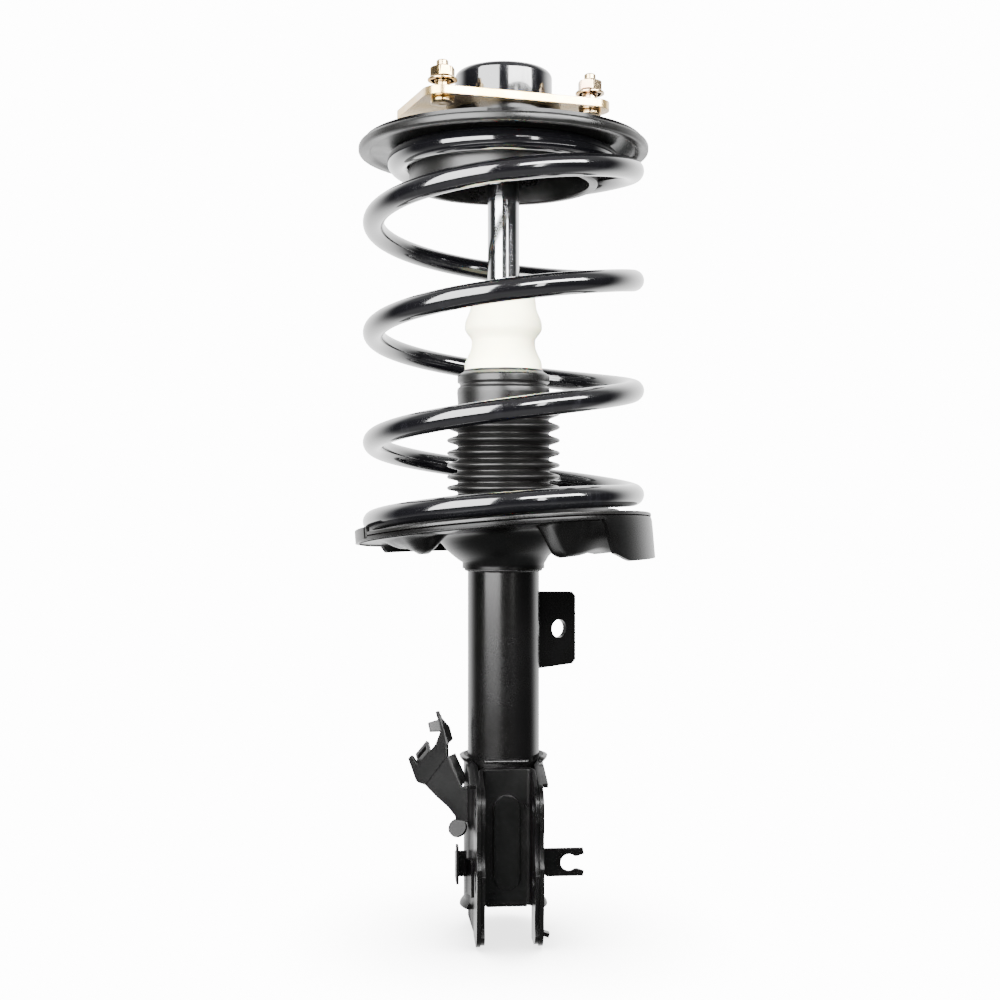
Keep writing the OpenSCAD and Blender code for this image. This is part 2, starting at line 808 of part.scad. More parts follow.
module piston_rod() {
    color("#d9dbde")
        turned([[0, piston_foot_z - piston_nut_h - 2], [rod_thread_r, piston_foot_z - piston_nut_h - 2],
            [rod_thread_r, piston_top_z], [rod_r, piston_top_z], [rod_r, shoulder_z - 1],
            [rod_r - 1, shoulder_z], [rod_thread_r, shoulder_z], [rod_thread_r, rod_top_z - 1],
            [rod_thread_r - 1, rod_top_z], [0, rod_top_z]]);
}

module rebound_stop() {
    color("#2c2c2f")
        ring(bore_r - 1.2, rod_r + seat_gap, rebound_foot_z, rebound_foot_z + rebound_h);
}

band_in_r = bore_r - 1.8;
band_z = piston_top_z - (piston_h - band_h) / 2;

module piston() {
    land_r = bore_r - 0.5;
    slack = 0.1;
    color("#8f9296")
        difference() {
            turned([[rod_thread_r + seat_gap, piston_foot_z], [land_r, piston_foot_z],
                [land_r, band_z - band_h - slack], [band_in_r - seat_gap, band_z - band_h - slack],
                [band_in_r - seat_gap, band_z + slack], [land_r, band_z + slack],
                [land_r, piston_top_z], [rod_thread_r + seat_gap, piston_top_z]]);
            ports(6, (rod_thread_r + band_in_r) / 2, piston_foot_z - eps, piston_h + 2 * eps);
        }
}

module piston_band() {
    color("#3b3a37")
        ring(bore_r - run_clear, band_in_r, band_z - band_h, band_z);
}

module piston_nut() {
    color("#77797d")
        difference() {
            hexagon_post(17, piston_foot_z - piston_nut_h, piston_nut_h);
            post(rod_thread_r + seat_gap, piston_foot_z - piston_nut_h - eps, piston_nut_h + 2 * eps);
        }
}

module rod_guide() {
    color("#7f8286")
        difference() {
            union() {
                post(tube_in_r - seat_gap, cylinder_top_z, guide_h - spigot_h);
                post(bore_r - seat_gap, guide_foot_z, spigot_h);
            }
            post(rod_r + run_clear, guide_foot_z - eps, guide_h + 2 * eps);
        }
}

module rod_seal() {
    color("#242427")
        ring(tube_in_r - seat_gap, rod_r + run_clear, guide_top_z, tube_top_z);
}

module gland_cap() {
    cap_wall = 1.5;
    skirt_h = 14;
    out_r = tube_r + seat_gap + cap_wall;
    color("#1f1f22")
        turned([[out_r - cap_wall, tube_top_z - skirt_h], [out_r, tube_top_z - skirt_h],
            [out_r, cap_top_z - cap_wall], [out_r - cap_wall, cap_top_z], [rod_r + 1.5, cap_top_z],
            [rod_r + 1.5, tube_top_z], [out_r - cap_wall, tube_top_z]]);
}

module pressure_cylinder() {
    color("#8b8d91")
        ring(cylinder_r, bore_r, valve_top_z - spigot_h, cylinder_top_z);
}

module base_valve() {
    color("#8f9296")
        difference() {
            union() {
                post(cylinder_r, valve_foot_z, valve_top_z - spigot_h - valve_foot_z);
                post(bore_r - seat_gap, valve_foot_z, valve_top_z - valve_foot_z);
            }
            ports(4, bore_r * 0.6, valve_foot_z + 3, valve_top_z - valve_foot_z);
            for (a = [0, 90])
                rotate([0, 0, a])
                    translate([-cylinder_r - eps, -2, valve_foot_z - eps])
                        cube([2 * (cylinder_r + eps), 4, 4 + eps]);
        }
}

module strut_tube() {
    color("#1b1b1d")
        ring(tube_r, tube_in_r, -tube_foot, tube_top_z);
}

module tube_end_cap() {
    color("#1b1b1d")
        post(tube_in_r - seat_gap, -tube_foot, end_cap_t);
}

// ---- Knuckle clevis ----

wrap_in_r = tube_r + seat_gap;
wrap_out_r = wrap_in_r + clevis_t;
flange_x = clevis_gap / 2 + clevis_t;         // outer faces of the reinforcement's flanges
ear_x = flange_x + seat_gap;                  // inner faces of the ears
leave_turn = 25;                              // the sheet leaves the tube this far past its side
leg_r = ear_r - 2;
leg_heel = 17;                                // distance from the axis to the back of the legs' ends
ear_front = bolt_reach + ear_r + eps;

// Plan of the left ear's inner face: off the wrap beside its tangent, then straight to the front
joggle = 0.4;                                 // the ears stand this far outside the wrap's own line
wrap_end = on_circle(wrap_in_r + joggle, 180 + leave_turn);
ear_bend = wrap_end + (wrap_end[0] + ear_x) / -sin(leave_turn) * on_circle(1, leave_turn - 90);
ear_line = [wrap_end, ear_bend, [-ear_x, -ear_front]];

// Upper edge of the ears, from the front lobe back to the wrap, in reach and height
ear_root = -wrap_end[1] - 3;
ear_top = wrap_top + 2;
ear_edge = tangent([[bolt_reach, -upper_bolt], ear_r], [[ear_root + 0.5, -ear_top - 0.5], 0.5]);
ear_slope = atan2(ear_edge[1][1] - ear_edge[0][1], ear_edge[0][0] - ear_edge[1][0]);

// Plan of the reinforcement's outer face, a channel that opens to the front
channel_r = clevis_t + 3;
web_foot = wrap_foot - 6.5;
channel_line = concat(
    [[-flange_x, -ear_front]],
    arc(-flange_x + channel_r, -wrap_in_r - channel_r, channel_r, 180, 90, 6),
    arc(flange_x - channel_r, -wrap_in_r - channel_r, channel_r, 90, 0, 6),
    [[flange_x, -ear_front]]
);

module on_clevis() {
    rotate([0, 0, clevis_turn])
        children();
}

// A plan drawn in x and y, run down over the clevis's whole height
module clevis_plan(line) {
    translate([0, 0, -leg_foot - eps])
        linear_extrude(leg_foot)
            polygon(sheet(line, clevis_t));
}

// The clevis seen from its side, run across its whole width: the outline starts at root, keeps
// inset inside the ears' edges and is waisted in front between the lobes
module clevis_side(root, top, inset, waist) {
    waist_r = bolt_pitch / 2;
    waist_reach = bolt_reach + ear_r - inset + waist_r - waist;
    width = 4 * tube_r;
    heel_r = 6;
    corners = [
        [[root + 0.5, -top - 0.5], 0.5],
        [[root + 0.5, -wrap_foot + 2], 0.5],
        [[max(root, leg_heel) + heel_r, -leg_foot + heel_r + 1], heel_r],
        [[bolt_reach - 2, -leg_foot + leg_r], leg_r - inset],
        [[bolt_reach, -lower_bolt], ear_r - inset],
        [[bolt_reach, -upper_bolt], ear_r - inset]
    ];
    translate([width / 2, 0, 0])
        rotate([90, 0, -90])
            difference() {
                rounded_plate(corners, width);
                for (depth = [upper_bolt + bolt_pitch / 2, lower_bolt + bolt_pitch / 2])
                    translate([waist_reach, -depth, -eps])
                        cylinder(r = waist_r, h = width + 2 * eps);
            }
}

heel_inset = 3;

module bolt_holes() {
    for (depth = [upper_bolt, lower_bolt])
        translate([-tube_r * 2, -bolt_reach, -depth])
            rotate([0, 90, 0])
                cylinder(r = bolt_r, h = tube_r * 4);
}

module clevis_bracket() {
    edge_h = 5;
    arc_end = leave_turn + 4;
    lip_len = 30;
    lip_w = 4;
    lip_z = ear_edge[1][1] - (-ear_bend[1] - ear_edge[1][0]) * tan(ear_slope) - fold_gap;
    barb = [9, 6, clevis_t];
    color("#1b1b1d")
        on_clevis()
            difference() {
                union() {
                    turned(sheet(concat(
                        swell(wrap_in_r + flare, -wrap_foot, wrap_in_r, -wrap_foot + edge_h, 5),
                        swell(wrap_in_r, -wrap_top - edge_h, wrap_in_r + flare, -wrap_top, 5)
                    ), clevis_t), -arc_end, 180 + 2 * arc_end);
                    for (side = [0, 1])
                        mirror([side, 0, 0]) {
                            intersection() {
                                clevis_plan(ear_line);
                                clevis_side(ear_root, ear_top, 0, 3.5);
                            }
                            translate([-ear_x - clevis_t - lip_w, ear_bend[1], lip_z])
                                rotate([ear_slope, 0, 0])
                                    translate([0, -lip_len, -clevis_t])
                                        cube([clevis_t + lip_w, lip_len, clevis_t]);
                        }
                    translate([ear_x + clevis_t - eps, -leg_heel - heel_inset, -leg_foot + 5])
                        rotate([0, 20, 0])
                            translate([0, -barb[1], -barb[2]])
                                cube(barb);
                }
                bolt_holes();
            }
}

module clevis_reinforcement() {
    bead_mid = (wrap_top + wrap_foot) / 2 + 3;
    bead_r = bead_w / 2;
    color("#18181a")
        on_clevis()
            difference() {
                union() {
                    difference() {
                        intersection() {
                            clevis_plan(channel_line);
                            clevis_side(wrap_in_r - eps, wrap_top + 5, 1, 7);
                        }
                        translate([-2 * tube_r, -wrap_in_r - channel_r, -leg_foot - eps])
                            cube([4 * tube_r, channel_r + eps, leg_foot - web_foot + eps]);
                    }
                    translate([0, -wrap_out_r + eps, -bead_mid])
                        rotate([90, 0, 0])
                            linear_extrude(eps + bead_rise) {
                                for (end = [-1, 1])
                                    translate([0, end * (bead_h / 2 - bead_r)])
                                        circle(r = bead_r);
                                square([bead_w, bead_h - bead_w], center = true);
                            }
                }
                bolt_holes();
            }
}

// ---- Brackets ----

module link_bracket() {
    taper = 1.5;
    chamfer = 3;
    half = link_h / 2;
    color("#1a1a1c")
        rotate([0, 0, link_turn])
            translate([0, link_t / 2, -link_depth])
                rotate([90, 0, 0])
                    difference() {
                        linear_extrude(link_t)
                            polygon([[tube_r + seat_gap, -half], [link_reach - chamfer, -half + taper],
                                [link_reach, -half + taper + chamfer], [link_reach, half - taper - chamfer],
                                [link_reach - chamfer, half - taper], [tube_r + seat_gap, half]]);
                        translate([link_hole_reach, 0, -eps])
                            cylinder(r = link_hole_r, h = link_t + 2 * eps);
                    }
}

// Strap that lies on the left ear's outer face, from where the ear leaves the wrap
ear_skin = beside(ear_line, clevis_t + seat_gap);
module ear_strap(top, foot, t) {
    strap_len = 6;
    translate([0, 0, -foot])
        linear_extrude(foot - top)
            polygon(sheet([ear_skin[0], ear_skin[1], ear_skin[1] - [0, strap_len]], t));
}

module clip_bracket() {
    arm_y = ear_skin[0][1] - 0.3;
    arm_x = 0.3 - ear_skin[0][0];
    arm_up = 10;
    arm_down = 9.4;
    finger_end = clip_reach + clip_r + 4.9;
    throat = clip_r * 0.74;
    mouth = clip_r * 1.03;
    color("#19191b")
        on_clevis() {
            mirror([1, 0, 0])
                ear_strap(clip_depth - arm_up - 14, clip_depth + arm_down, clip_t);
            translate([0, arm_y + clip_t / 2, -clip_depth])
                rotate([90, 0, 0])
                    difference() {
                        linear_extrude(clip_t)
                            polygon([[arm_x, -arm_down + 2.5], [arm_x + 3, -arm_down],
                                [finger_end - 1, -arm_down], [finger_end, -arm_down / 2],
                                [finger_end, arm_up / 2], [finger_end - 1, arm_up], [arm_x, arm_up]]);
                        translate([clip_reach, 0, -eps])
                            cylinder(r = clip_r, h = clip_t + 2 * eps);
                        translate([0, 0, -eps])
                            linear_extrude(clip_t + 2 * eps)
                                polygon([[clip_reach, -throat], [clip_reach + clip_r, -throat],
                                    [finger_end + eps, -mouth - 0.4], [finger_end + eps, mouth + 0.4],
                                    [clip_reach + clip_r, throat], [clip_reach, throat]]);
                    }
        }
}

module wire_bracket() {
    strap_top = clip_depth - 4.5;
    strap_h = 24;
    arm_foot = clip_depth + 8;
    arm_h = 17.5;
    tab_h = 25;
    tab_x = wrap_out_r + 5;
    tab_len = 20;
    start = ear_skin[0] - [clip_t / 2, 1.5];
    color("#19191b")
        on_clevis() {
            ear_strap(strap_top, strap_top + strap_h, clip_t);
            translate([0, 0, -arm_foot])
                linear_extrude(arm_h)
                    polygon(sheet([start, [-tab_x, start[1]], [-tab_x, start[1] - tab_len]], clip_t));
            translate([-tab_x - clip_t, start[1] - tab_len, -arm_foot])
                cube([clip_t, tab_len / 2, tab_h]);
        }
}

// Frame of a flange that is folded by an angle towards +z from the edge p to q of a flat sheet
// lying on z = 0 .. t: x runs along the edge, y away from it on its left
module on_fold(p, q, angle, t) {
    translate([p[0], p[1], t / 2])
        rotate([0, 0, atan2(q[1] - p[1], q[0] - p[0])])
            rotate([angle, 0, 0])
                translate([0, 0, -t / 2])
                    children();
}

// Folds all of a flat sheet that lies on the left of the line from p to q
module hinged(p, q, angle, t) {
    on_fold(p, q, angle, t)
        rotate([0, 0, -atan2(q[1] - p[1], q[0] - p[0])])
            translate([-p[0], -p[1], 0])
                children();
}

// Flange with a rounded fold and the outline given as children
module flange(p, q, angle, t) {
    on_fold(p, q, angle, t) {
        linear_extrude(t)
            children();
        translate([0, 0, t / 2])
            rotate([0, 90, 0])
                cylinder(d = t - 0.1, h = norm(q - p));
    }
}

// A flange's outline: length along the edge, width, and how far its outer corners are drawn in
module strip(len, w, near, far) {
    polygon([[0, 0], [len, 0], [len - far, w], [near, w]]);
}

// The hose bracket is drawn flat as [reach, height] from the foot of its welded edge
module hose_bracket() {
    weld_turn = 201;
    weld_foot = lower_bolt - 24;
    weld_len = 4.6;                   // ends inside the wrap, which is cut away, clear of the ear
    crease = [[12.8, 53], [29.5, 31.7]];
    crease_fold = 14;
    tab_edge = [[28.3, 54.8], [37.1, 44.7]];
    tab_len = norm(tab_edge[1] - tab_edge[0]);
    tab_w = 12;
    arm_tip = [24, 83.5];
    hook_edge = [[23.2, 77.5], [20.2, 69.5]];
    side_edge = [[2.5, 33], crease[0]];
    foot_r = 6.5;
    origin = on_circle(wrap_out_r + hose_t, weld_turn);
    color("#2b2724")
        on_clevis()
            difference() {
                translate([origin[0], origin[1], -weld_foot])
                    rotate([90, 0, 180 - hose_turn]) {
                        linear_extrude(hose_t)
                            polygon([[-weld_len, 9], [5.4, 9], [7, 12.5], [12, 18], [21, 24.5],
                                crease[1], crease[0], side_edge[0], [-weld_len, side_edge[0][1]]]);
                        flange(side_edge[0], side_edge[1], 60, hose_t)
                            strip(norm(side_edge[1] - side_edge[0]), 6, 3, 0);
                        // Rolled foot
                        flange([6, 9], [0, 9], -32, hose_t)
                            translate([2, foot_r - 1.5])
                                circle(r = foot_r);
                        // Upper facet, turned back along the crease, with its flanges
                        hinged(crease[0], crease[1], crease_fold, hose_t) {
                            linear_extrude(hose_t)
                                polygon([crease[0], crease[1], [36, 32.8], [38, 34], [46.5, 48.5],
                                    [44, 51], tab_edge[1], tab_edge[0], [23.4, 60.5], hook_edge[1],
                                    hook_edge[0], [25.6, 82.5], arm_tip, [16.5, 70], [14, 62]]);
                            flange([14, 61], [22.5, 80.5], 70, hose_t)
                                strip(20, 5, 3, 8);
                            difference() {
                                flange(tab_edge[0], tab_edge[1], tab_fold, hose_t)
                                    strip(tab_len, tab_w, 0, 0);
                                on_fold(tab_edge[0], tab_edge[1], tab_fold, hose_t)
                                    translate([(tab_len - slot_len) / 2, (tab_w - slot_w) / 2, -eps])
                                        cube([slot_len, slot_w, hose_t + 2 * eps]);
                            }
                            flange(hook_edge[0], hook_edge[1], -55, hose_t)
                                strip(norm(hook_edge[1] - hook_edge[0]), 8, 1, 1);
                        }
                    }
                post(wrap_out_r + seat_gap, -leg_foot, leg_foot);
                translate([0, 0, -leg_foot])
                    linear_extrude(leg_foot)
                        polygon(sheet(ear_line, clevis_t + seat_gap));
            }
}

mount_plate();
mount_cup();
mount_rubber();
mount_sleeve();
mount_studs();
mount_nuts();
rod_washer();
rod_nut();
bearing_upper_race();
bearing_lower_race();
bearing_balls();
bearing_cage();
upper_spring_seat();
upper_rubber_seat();
coil_spring();
bump_stop();
dust_boot();
piston_rod();
rebound_stop();
piston();
piston_band();
piston_nut();
rod_guide();
rod_seal();
gland_cap();
pressure_cylinder();
base_valve();
strut_tube();
tube_end_cap();
lower_spring_seat();
lower_rubber_pad();
clevis_bracket();
clevis_reinforcement();
hose_bracket();
clip_bracket();
wire_bracket();
link_bracket();
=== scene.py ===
"""Front suspension strut: spring, soft parts, fasteners, finishes and a plain stage round the CAD model."""

from math import atan2, cos, degrees, pi, radians, sin, sqrt, tan, tau

import bmesh
import bpy
from bpy.types import Operator, PropertyGroup
from mathutils import Matrix, Vector


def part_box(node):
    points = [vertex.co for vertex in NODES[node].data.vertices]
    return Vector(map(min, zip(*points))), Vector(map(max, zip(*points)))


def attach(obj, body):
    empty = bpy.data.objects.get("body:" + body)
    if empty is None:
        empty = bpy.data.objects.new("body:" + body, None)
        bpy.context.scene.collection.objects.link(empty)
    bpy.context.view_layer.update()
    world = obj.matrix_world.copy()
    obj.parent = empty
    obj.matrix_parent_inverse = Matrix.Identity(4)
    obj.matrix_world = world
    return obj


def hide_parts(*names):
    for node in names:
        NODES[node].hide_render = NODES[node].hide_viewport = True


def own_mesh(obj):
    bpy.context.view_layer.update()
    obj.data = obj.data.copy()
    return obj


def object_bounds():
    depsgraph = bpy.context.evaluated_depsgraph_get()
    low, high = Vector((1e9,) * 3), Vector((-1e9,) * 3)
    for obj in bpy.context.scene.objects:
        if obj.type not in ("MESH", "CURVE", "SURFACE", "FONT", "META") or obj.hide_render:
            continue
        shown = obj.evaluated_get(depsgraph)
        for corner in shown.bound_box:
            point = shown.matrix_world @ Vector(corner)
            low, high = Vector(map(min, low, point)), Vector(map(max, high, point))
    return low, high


bl_info = {
    "name": "Strut Assembly",
    "version": (1, 0, 0),
    "blender": (4, 5, 0),
    "location": "View3D > Sidebar > Strut",
    "description": "Spring, soft parts, fasteners and finishes of a front suspension strut",
    "category": "Object",
}

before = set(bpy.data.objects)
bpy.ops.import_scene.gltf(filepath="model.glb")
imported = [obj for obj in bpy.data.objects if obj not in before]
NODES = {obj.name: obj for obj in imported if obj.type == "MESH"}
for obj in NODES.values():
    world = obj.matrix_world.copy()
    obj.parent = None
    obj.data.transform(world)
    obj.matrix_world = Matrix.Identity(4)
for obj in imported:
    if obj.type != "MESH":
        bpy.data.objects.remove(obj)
CAD_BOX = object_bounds()

MM = 0.001


def mm(*lengths):
    """Lengths in metres as millimetres."""
    return [v / MM for v in lengths]


def polar(r, a, z=0.0):
    return Vector((r * cos(a), r * sin(a), z))


# ---- Sizes and colours a user may change ----

def number(name, description, default, **settings):
    return bpy.props.FloatProperty(name=name, description=description, default=default, **settings)


def length(name, description, default):
    return number(name, description, default * MM, unit="LENGTH", subtype="DISTANCE", precision=5)


def angle(name, description, default):
    return number(name, description, radians(default), unit="ROTATION", subtype="ANGLE")


def amount(name, description, default, low=0.0, high=1.0):
    return number(name, description, default, min=low, max=high, subtype="FACTOR")


def power(name, description, watts):
    return number(name, description, watts, min=0, unit="POWER")


def colour(name, description, default):
    return bpy.props.FloatVectorProperty(name=name, description=description, default=default,
                                         size=3, min=0.0, max=1.0, subtype="COLOR")


def count(name, description, default):
    return bpy.props.IntProperty(name=name, description=description, default=default, min=1)


class STRUT_PG_spring(PropertyGroup):
    wire_r: length("Wire Radius", "Radius of the spring wire", 7.5)
    coil_r: length("Coil Radius", "Centre line radius of the working coils", 90.5)
    top_r: length("Top Coil Radius", "Centre line radius of the closed top coil", 73.5)
    start: angle("Lower End", "Bearing of the wire's lower end", -290)
    leave: angle("Leaves The Seat", "Angle where the wire lifts off the lower seat", -10)
    meet: angle("Meets The Seat", "Angle where the wire reaches the upper seat", 1104)
    end: angle("Upper End", "Angle of the wire's upper end", 1425)
    sides: count("Wire Sides", "Faces round the wire", 28)
    steps: count("Steps A Turn", "Rings of the wire in each turn", 96)
    anchor: length("Resting Depth", "Depth that stays still while the spring is compressed", 299)
    travel: length("Travel", "Travel of the strut from rest to full bump", 135)


class STRUT_PG_seats(PropertyGroup):
    low_depth: length("Lower Seat Depth", "Depth of the lower seat's centre", 294)
    tilt: angle("Seat Tilt", "Tilt of the lower seat", 6.4)
    rim_r: length("Rim Radius", "Outer radius of the lower seat", 103.5)
    sheet: length("Sheet", "Thickness of the lower seat's sheet", 2.8)
    tube_r: length("Tube Radius", "Outer radius of the damper tube", 25)
    guard: length("Guard Drop", "Depth of the guard's foot below the seat's centre", 19.5)
    drain_r: length("Drain Radius", "Radius of the drain hole in the lower seat", 2.2)
    high_turn: angle("Highest Side", "Bearing of the lower seat's highest side", -46.7)
    pad_r: length("Pad Radius", "Outer radius of the lower rubber pad", 103.2)
    pad_t: length("Pad Thickness", "Thickness of the lower rubber pad", 2.4)
    rubber_r: length("Rubber Seat Radius", "Outer radius of the upper rubber seat", 101)
    rubber_t: length("Rubber Flange", "Thickness of the upper rubber seat's flange", 3.5)
    bead_w: length("Bead Width", "Width of the bead round the upper rubber seat", 7)
    bead_drop: length("Bead Drop", "How far the bead hangs below the rubber's flange", 2.4)
    collar_depth: length("Collar Depth", "Depth of the rubber collar in the top coil", 24)
    collar_wall: length("Collar Wall", "Wall of the rubber collar", 6)


class STRUT_PG_boot(PropertyGroup):
    top: length("Boot Top", "Depth of the boot's top", 183.4)
    collar_r: length("Collar Radius", "Radius of the boot's collar", 32.2)
    rib_r: length("Rib Radius", "Outer radius of the ribs", 39.5)
    valley_r: length("Valley Radius", "Radius between the ribs", 32)
    wall: length("Boot Wall", "Thickness of the boot", 2.4)
    ribs: count("Ribs", "Number of ribs", 9)
    pitch_top: length("Top Pitch", "Spacing of the ribs at the top", 9.6)
    pitch_low: length("Low Pitch", "Spacing of the ribs at the bottom", 7)


class STRUT_PG_bump_stop(PropertyGroup):
    top: length("Stop Top", "Depth of the bump stop's top", 126)
    foot: length("Stop Foot", "Depth of the bump stop's foot", 196.7)
    bore_r: length("Bore Radius", "Radius of the hole for the rod", 11.3)


class STRUT_PG_fasteners(PropertyGroup):
    circle_r: length("Stud Circle", "Radius of the circle through the studs", 61)
    first: angle("First Stud", "Bearing of the first stud", -12)
    plate_t: length("Plate Thickness", "Thickness of the mount plate", 5.5)
    neck_r: length("Neck Radius", "Radius of the studs' plain neck", 5)
    pitch: length("Thread Pitch", "Pitch of the studs' thread", 1.5)
    nut_af: length("Across Flats", "Size of the flange nuts", 15)
    nut_h: length("Nut Height", "Height of the flange nuts", 9)
    lift: length("Panel Gap", "Gap left under the nuts for the body panel", 6)


class STRUT_PG_welds(PropertyGroup):
    seat_foot: length("Collar Foot", "Depth of the lower seat's collar foot", 322)
    link_turn: angle("Link Bearing", "Bearing of the link bracket", 36)
    link_depth: length("Link Depth", "Depth of the link bracket's middle", 366.4)
    clevis_turn: angle("Clevis Turn", "Turn of the clevis about the tube", 4.5)
    channel_top: length("Channel Top", "Depth of the channel's upper edge", 452)
    channel_foot: length("Channel Foot", "Depth of the channel's lower edge", 549.8)


class STRUT_PG_finishes(PropertyGroup):
    paint: colour("Gloss Black", "Paint of the spring and the cup", (0.0011, 0.0011, 0.0014))
    coat: colour("Satin Black", "Coat of the tube, seats, welds and brackets", (0.0006, 0.00058, 0.00058))
    rubber: colour("Rubber", "Rubber of the boot and seats", (0.0022, 0.0022, 0.0021))
    foam: colour("Foam", "Foam of the bump stop", (0.96, 0.93, 0.66))
    zinc: colour("Yellow Zinc", "Plating of the plate, studs and nuts", (0.80, 0.56, 0.24))
    chrome: colour("Chrome", "Plating of the piston rod", (0.62, 0.63, 0.65))


class STRUT_PG_stage(PropertyGroup):
    paper: amount("Paper", "Brightness of the white paper that the camera sees", 14.0, 0, 40)
    # Contact Shade sets the depth of the painted contact shadow in the paper's glow
    shade: amount("Contact Shade", "How much darker the paper gets close to the strut", 0.8)
    behind: amount("Behind", "Light that comes from behind the strut", 3.0, 0, 20)
    above: amount("Above And Below", "Light that comes from above and below", 0.32, 0, 20)
    front: amount("Front", "Light that comes from the dark room in front", 0.04, 0, 20)
    lens: number("Lens", "Focal length on a 36 mm sensor", 51.48, min=10, unit="CAMERA")
    left: power("Left Softbox", "Power of the tall softbox on the left", 175)
    right: power("Right Softbox", "Power of the low softbox on the right", 110)
    strip: power("Strip", "Power of the narrow strip lamp on the right", 5)
    fill: power("Fill", "Power of the fill that leaves no reflection", 300)


# ---- Node trees ----

def arithmetic(operation, swapped=False):
    def work_out(self, other):
        return self.maker.maths(operation, *((other, self) if swapped else (self, other)))
    return work_out


class Value:
    """A socket of a node tree; arithmetic with it adds the maths nodes that it takes."""

    def __init__(self, maker, socket):
        self.maker, self.socket = maker, socket

    __add__, __mul__ = arithmetic("ADD"), arithmetic("MULTIPLY")
    __sub__, __rsub__ = arithmetic("SUBTRACT"), arithmetic("SUBTRACT", swapped=True)
    __truediv__ = arithmetic("DIVIDE")


class Maker:
    """Adds nodes to a tree, sets their inputs and links them; family starts the names of its own nodes."""
    family = kind = ""

    def __init__(self, tree):
        self.tree, self.made = tree, 0

    def add(self, kind, inputs=None, **settings):
        node = self.tree.nodes.new(kind if "Node" in kind else self.family + kind)
        node.location = (180 * (self.made % 12), -260 * (self.made // 12))
        self.made += 1
        for key, value in settings.items():
            setattr(node, key, value)
        for key, value in (inputs or {}).items():
            self.plug(node.inputs[key], value)
        return node

    def put(self, kind, inputs=None, output=0, **settings):
        """One output of a new node."""
        return Value(self, self.add(kind, inputs, **settings).outputs[output])

    def plug(self, socket, value):
        if isinstance(value, Value):
            self.tree.links.new(value.socket, socket)
        else:
            socket.default_value = value

    def maths(self, operation, a, b=0.0, c=0.0, clamp=False):
        return self.put("ShaderNodeMath", {0: a, 1: b, 2: c}, operation=operation, use_clamp=clamp)

    def split(self, vector):
        return [Value(self, s) for s in self.add("ShaderNodeSeparateXYZ", {0: vector}).outputs]

    def vector(self, x=0.0, y=0.0, z=0.0):
        return self.put("ShaderNodeCombineXYZ", {0: x, 1: y, 2: z})


class Shading(Maker):
    family, kind = "ShaderNode", "ShaderNodeTree"

    def step(self, value, low, high):
        """A smooth step from 0 at low to 1 at high."""
        return self.put("MapRange", {0: value, 1: low, 2: high}, interpolation_type="SMOOTHSTEP")

    def noise(self, place, scale, detail, roughness):
        return self.put("TexNoise", {"Vector": place, "Scale": scale, "Detail": detail,
                                     "Roughness": roughness})

    def mix(self, factor, a, b):
        return self.put("Mix", {0: factor, 6: (*a, 1), 7: (*b, 1)}, output=2, data_type="RGBA")

    def ramp(self, factor, stops):
        node = self.add("ValToRGB", {0: factor})
        while len(node.color_ramp.elements) < len(stops):
            node.color_ramp.elements.new(0.5)
        for element, (at, c) in zip(node.color_ramp.elements, stops):
            element.position, element.color = at, (*c, 1)
        return Value(self, node.outputs[0])


SOCKETS = {float: "Float", int: "Int", tuple: "Vector"}
MADE = {}


def once(make, *values):
    """What make gives for these values, made only the first time."""
    if (make, values) not in MADE:
        MADE[make, values] = make(*values)
    return MADE[make, values]


def label(key):
    return key.replace("_", " ").title()


def new_group(family, name, outputs, inputs):
    """A node group. Each input is a default, or the kind of socket where there is none."""
    m = family(bpy.data.node_groups.new(name, family.kind))
    face = m.tree.interface
    for key, default in inputs.items():
        kind = SOCKETS.get(type(default), default)
        made = face.new_socket(label(key), in_out="INPUT", socket_type="NodeSocket" + kind)
        if kind != default:
            made.default_value = default
    for key, kind in outputs.items():
        face.new_socket(key, in_out="OUTPUT", socket_type="NodeSocket" + kind)
    m.out = m.tree.nodes.new("NodeGroupOutput").inputs
    return m, {key: Value(m, s) for key, s in zip(inputs, m.tree.nodes.new("NodeGroupInput").outputs)}


# ---- Effects that several finishes share ----

def new_effect(name, outputs, **inputs):
    """Opens a shared effect; returns its maker, its inputs and the place on the piece."""
    t, v = new_group(Shading, name, dict.fromkeys(outputs, "Float"), inputs)
    return t, v, t.put("TexCoord", output="Object")


def stretched(t, place, stretch):
    return t.put("VectorMath", {0: place, 1: stretch}, operation="MULTIPLY")


def grain():
    """Fine even roughness of moulded rubber, paint and cast faces: a height and a mask."""
    t, v, place = new_effect("Grain", ["Height", "Mask"], scale=900.0, detail=3.0, contrast=1.0)
    fine = t.noise(place, v["scale"], v["detail"], 0.6)
    t.plug(t.out["Height"], (fine - 0.5) * v["contrast"] + 0.5)
    t.plug(t.out["Mask"], fine)
    return t.tree


def mottle():
    """Large soft patches, as in plating and in a coat that dried unevenly: a mask from 0 to 1."""
    t, v, place = new_effect("Mottle", ["Mask"], scale=30.0, stretch=(1, 1, 1), sharpness=2.5)
    patches = t.noise(stretched(t, place, v["stretch"]), v["scale"], 4.0, 0.55)
    t.plug(t.out["Mask"], t.maths("ADD", (patches - 0.5) * v["sharpness"], 0.5, clamp=True))
    return t.tree


def scuff():
    """Scattered short rubs where a coat has touched its packing: a mask from 0 to 1."""
    t, v, place = new_effect("Scuff", ["Mask"], scale=60.0, stretch=(1, 1, 0.2), amount=0.3)
    lines = t.noise(stretched(t, place, v["stretch"]), v["scale"], 6.0, 0.7)
    where = t.noise(place, 14.0, 2.0, 0.5)
    both = t.maths("SUBTRACT", lines, 0.52, clamp=True) * t.maths("SUBTRACT", where, 0.42, clamp=True)
    t.plug(t.out["Mask"], t.maths("MULTIPLY", both * 60.0, v["amount"], clamp=True))
    return t.tree


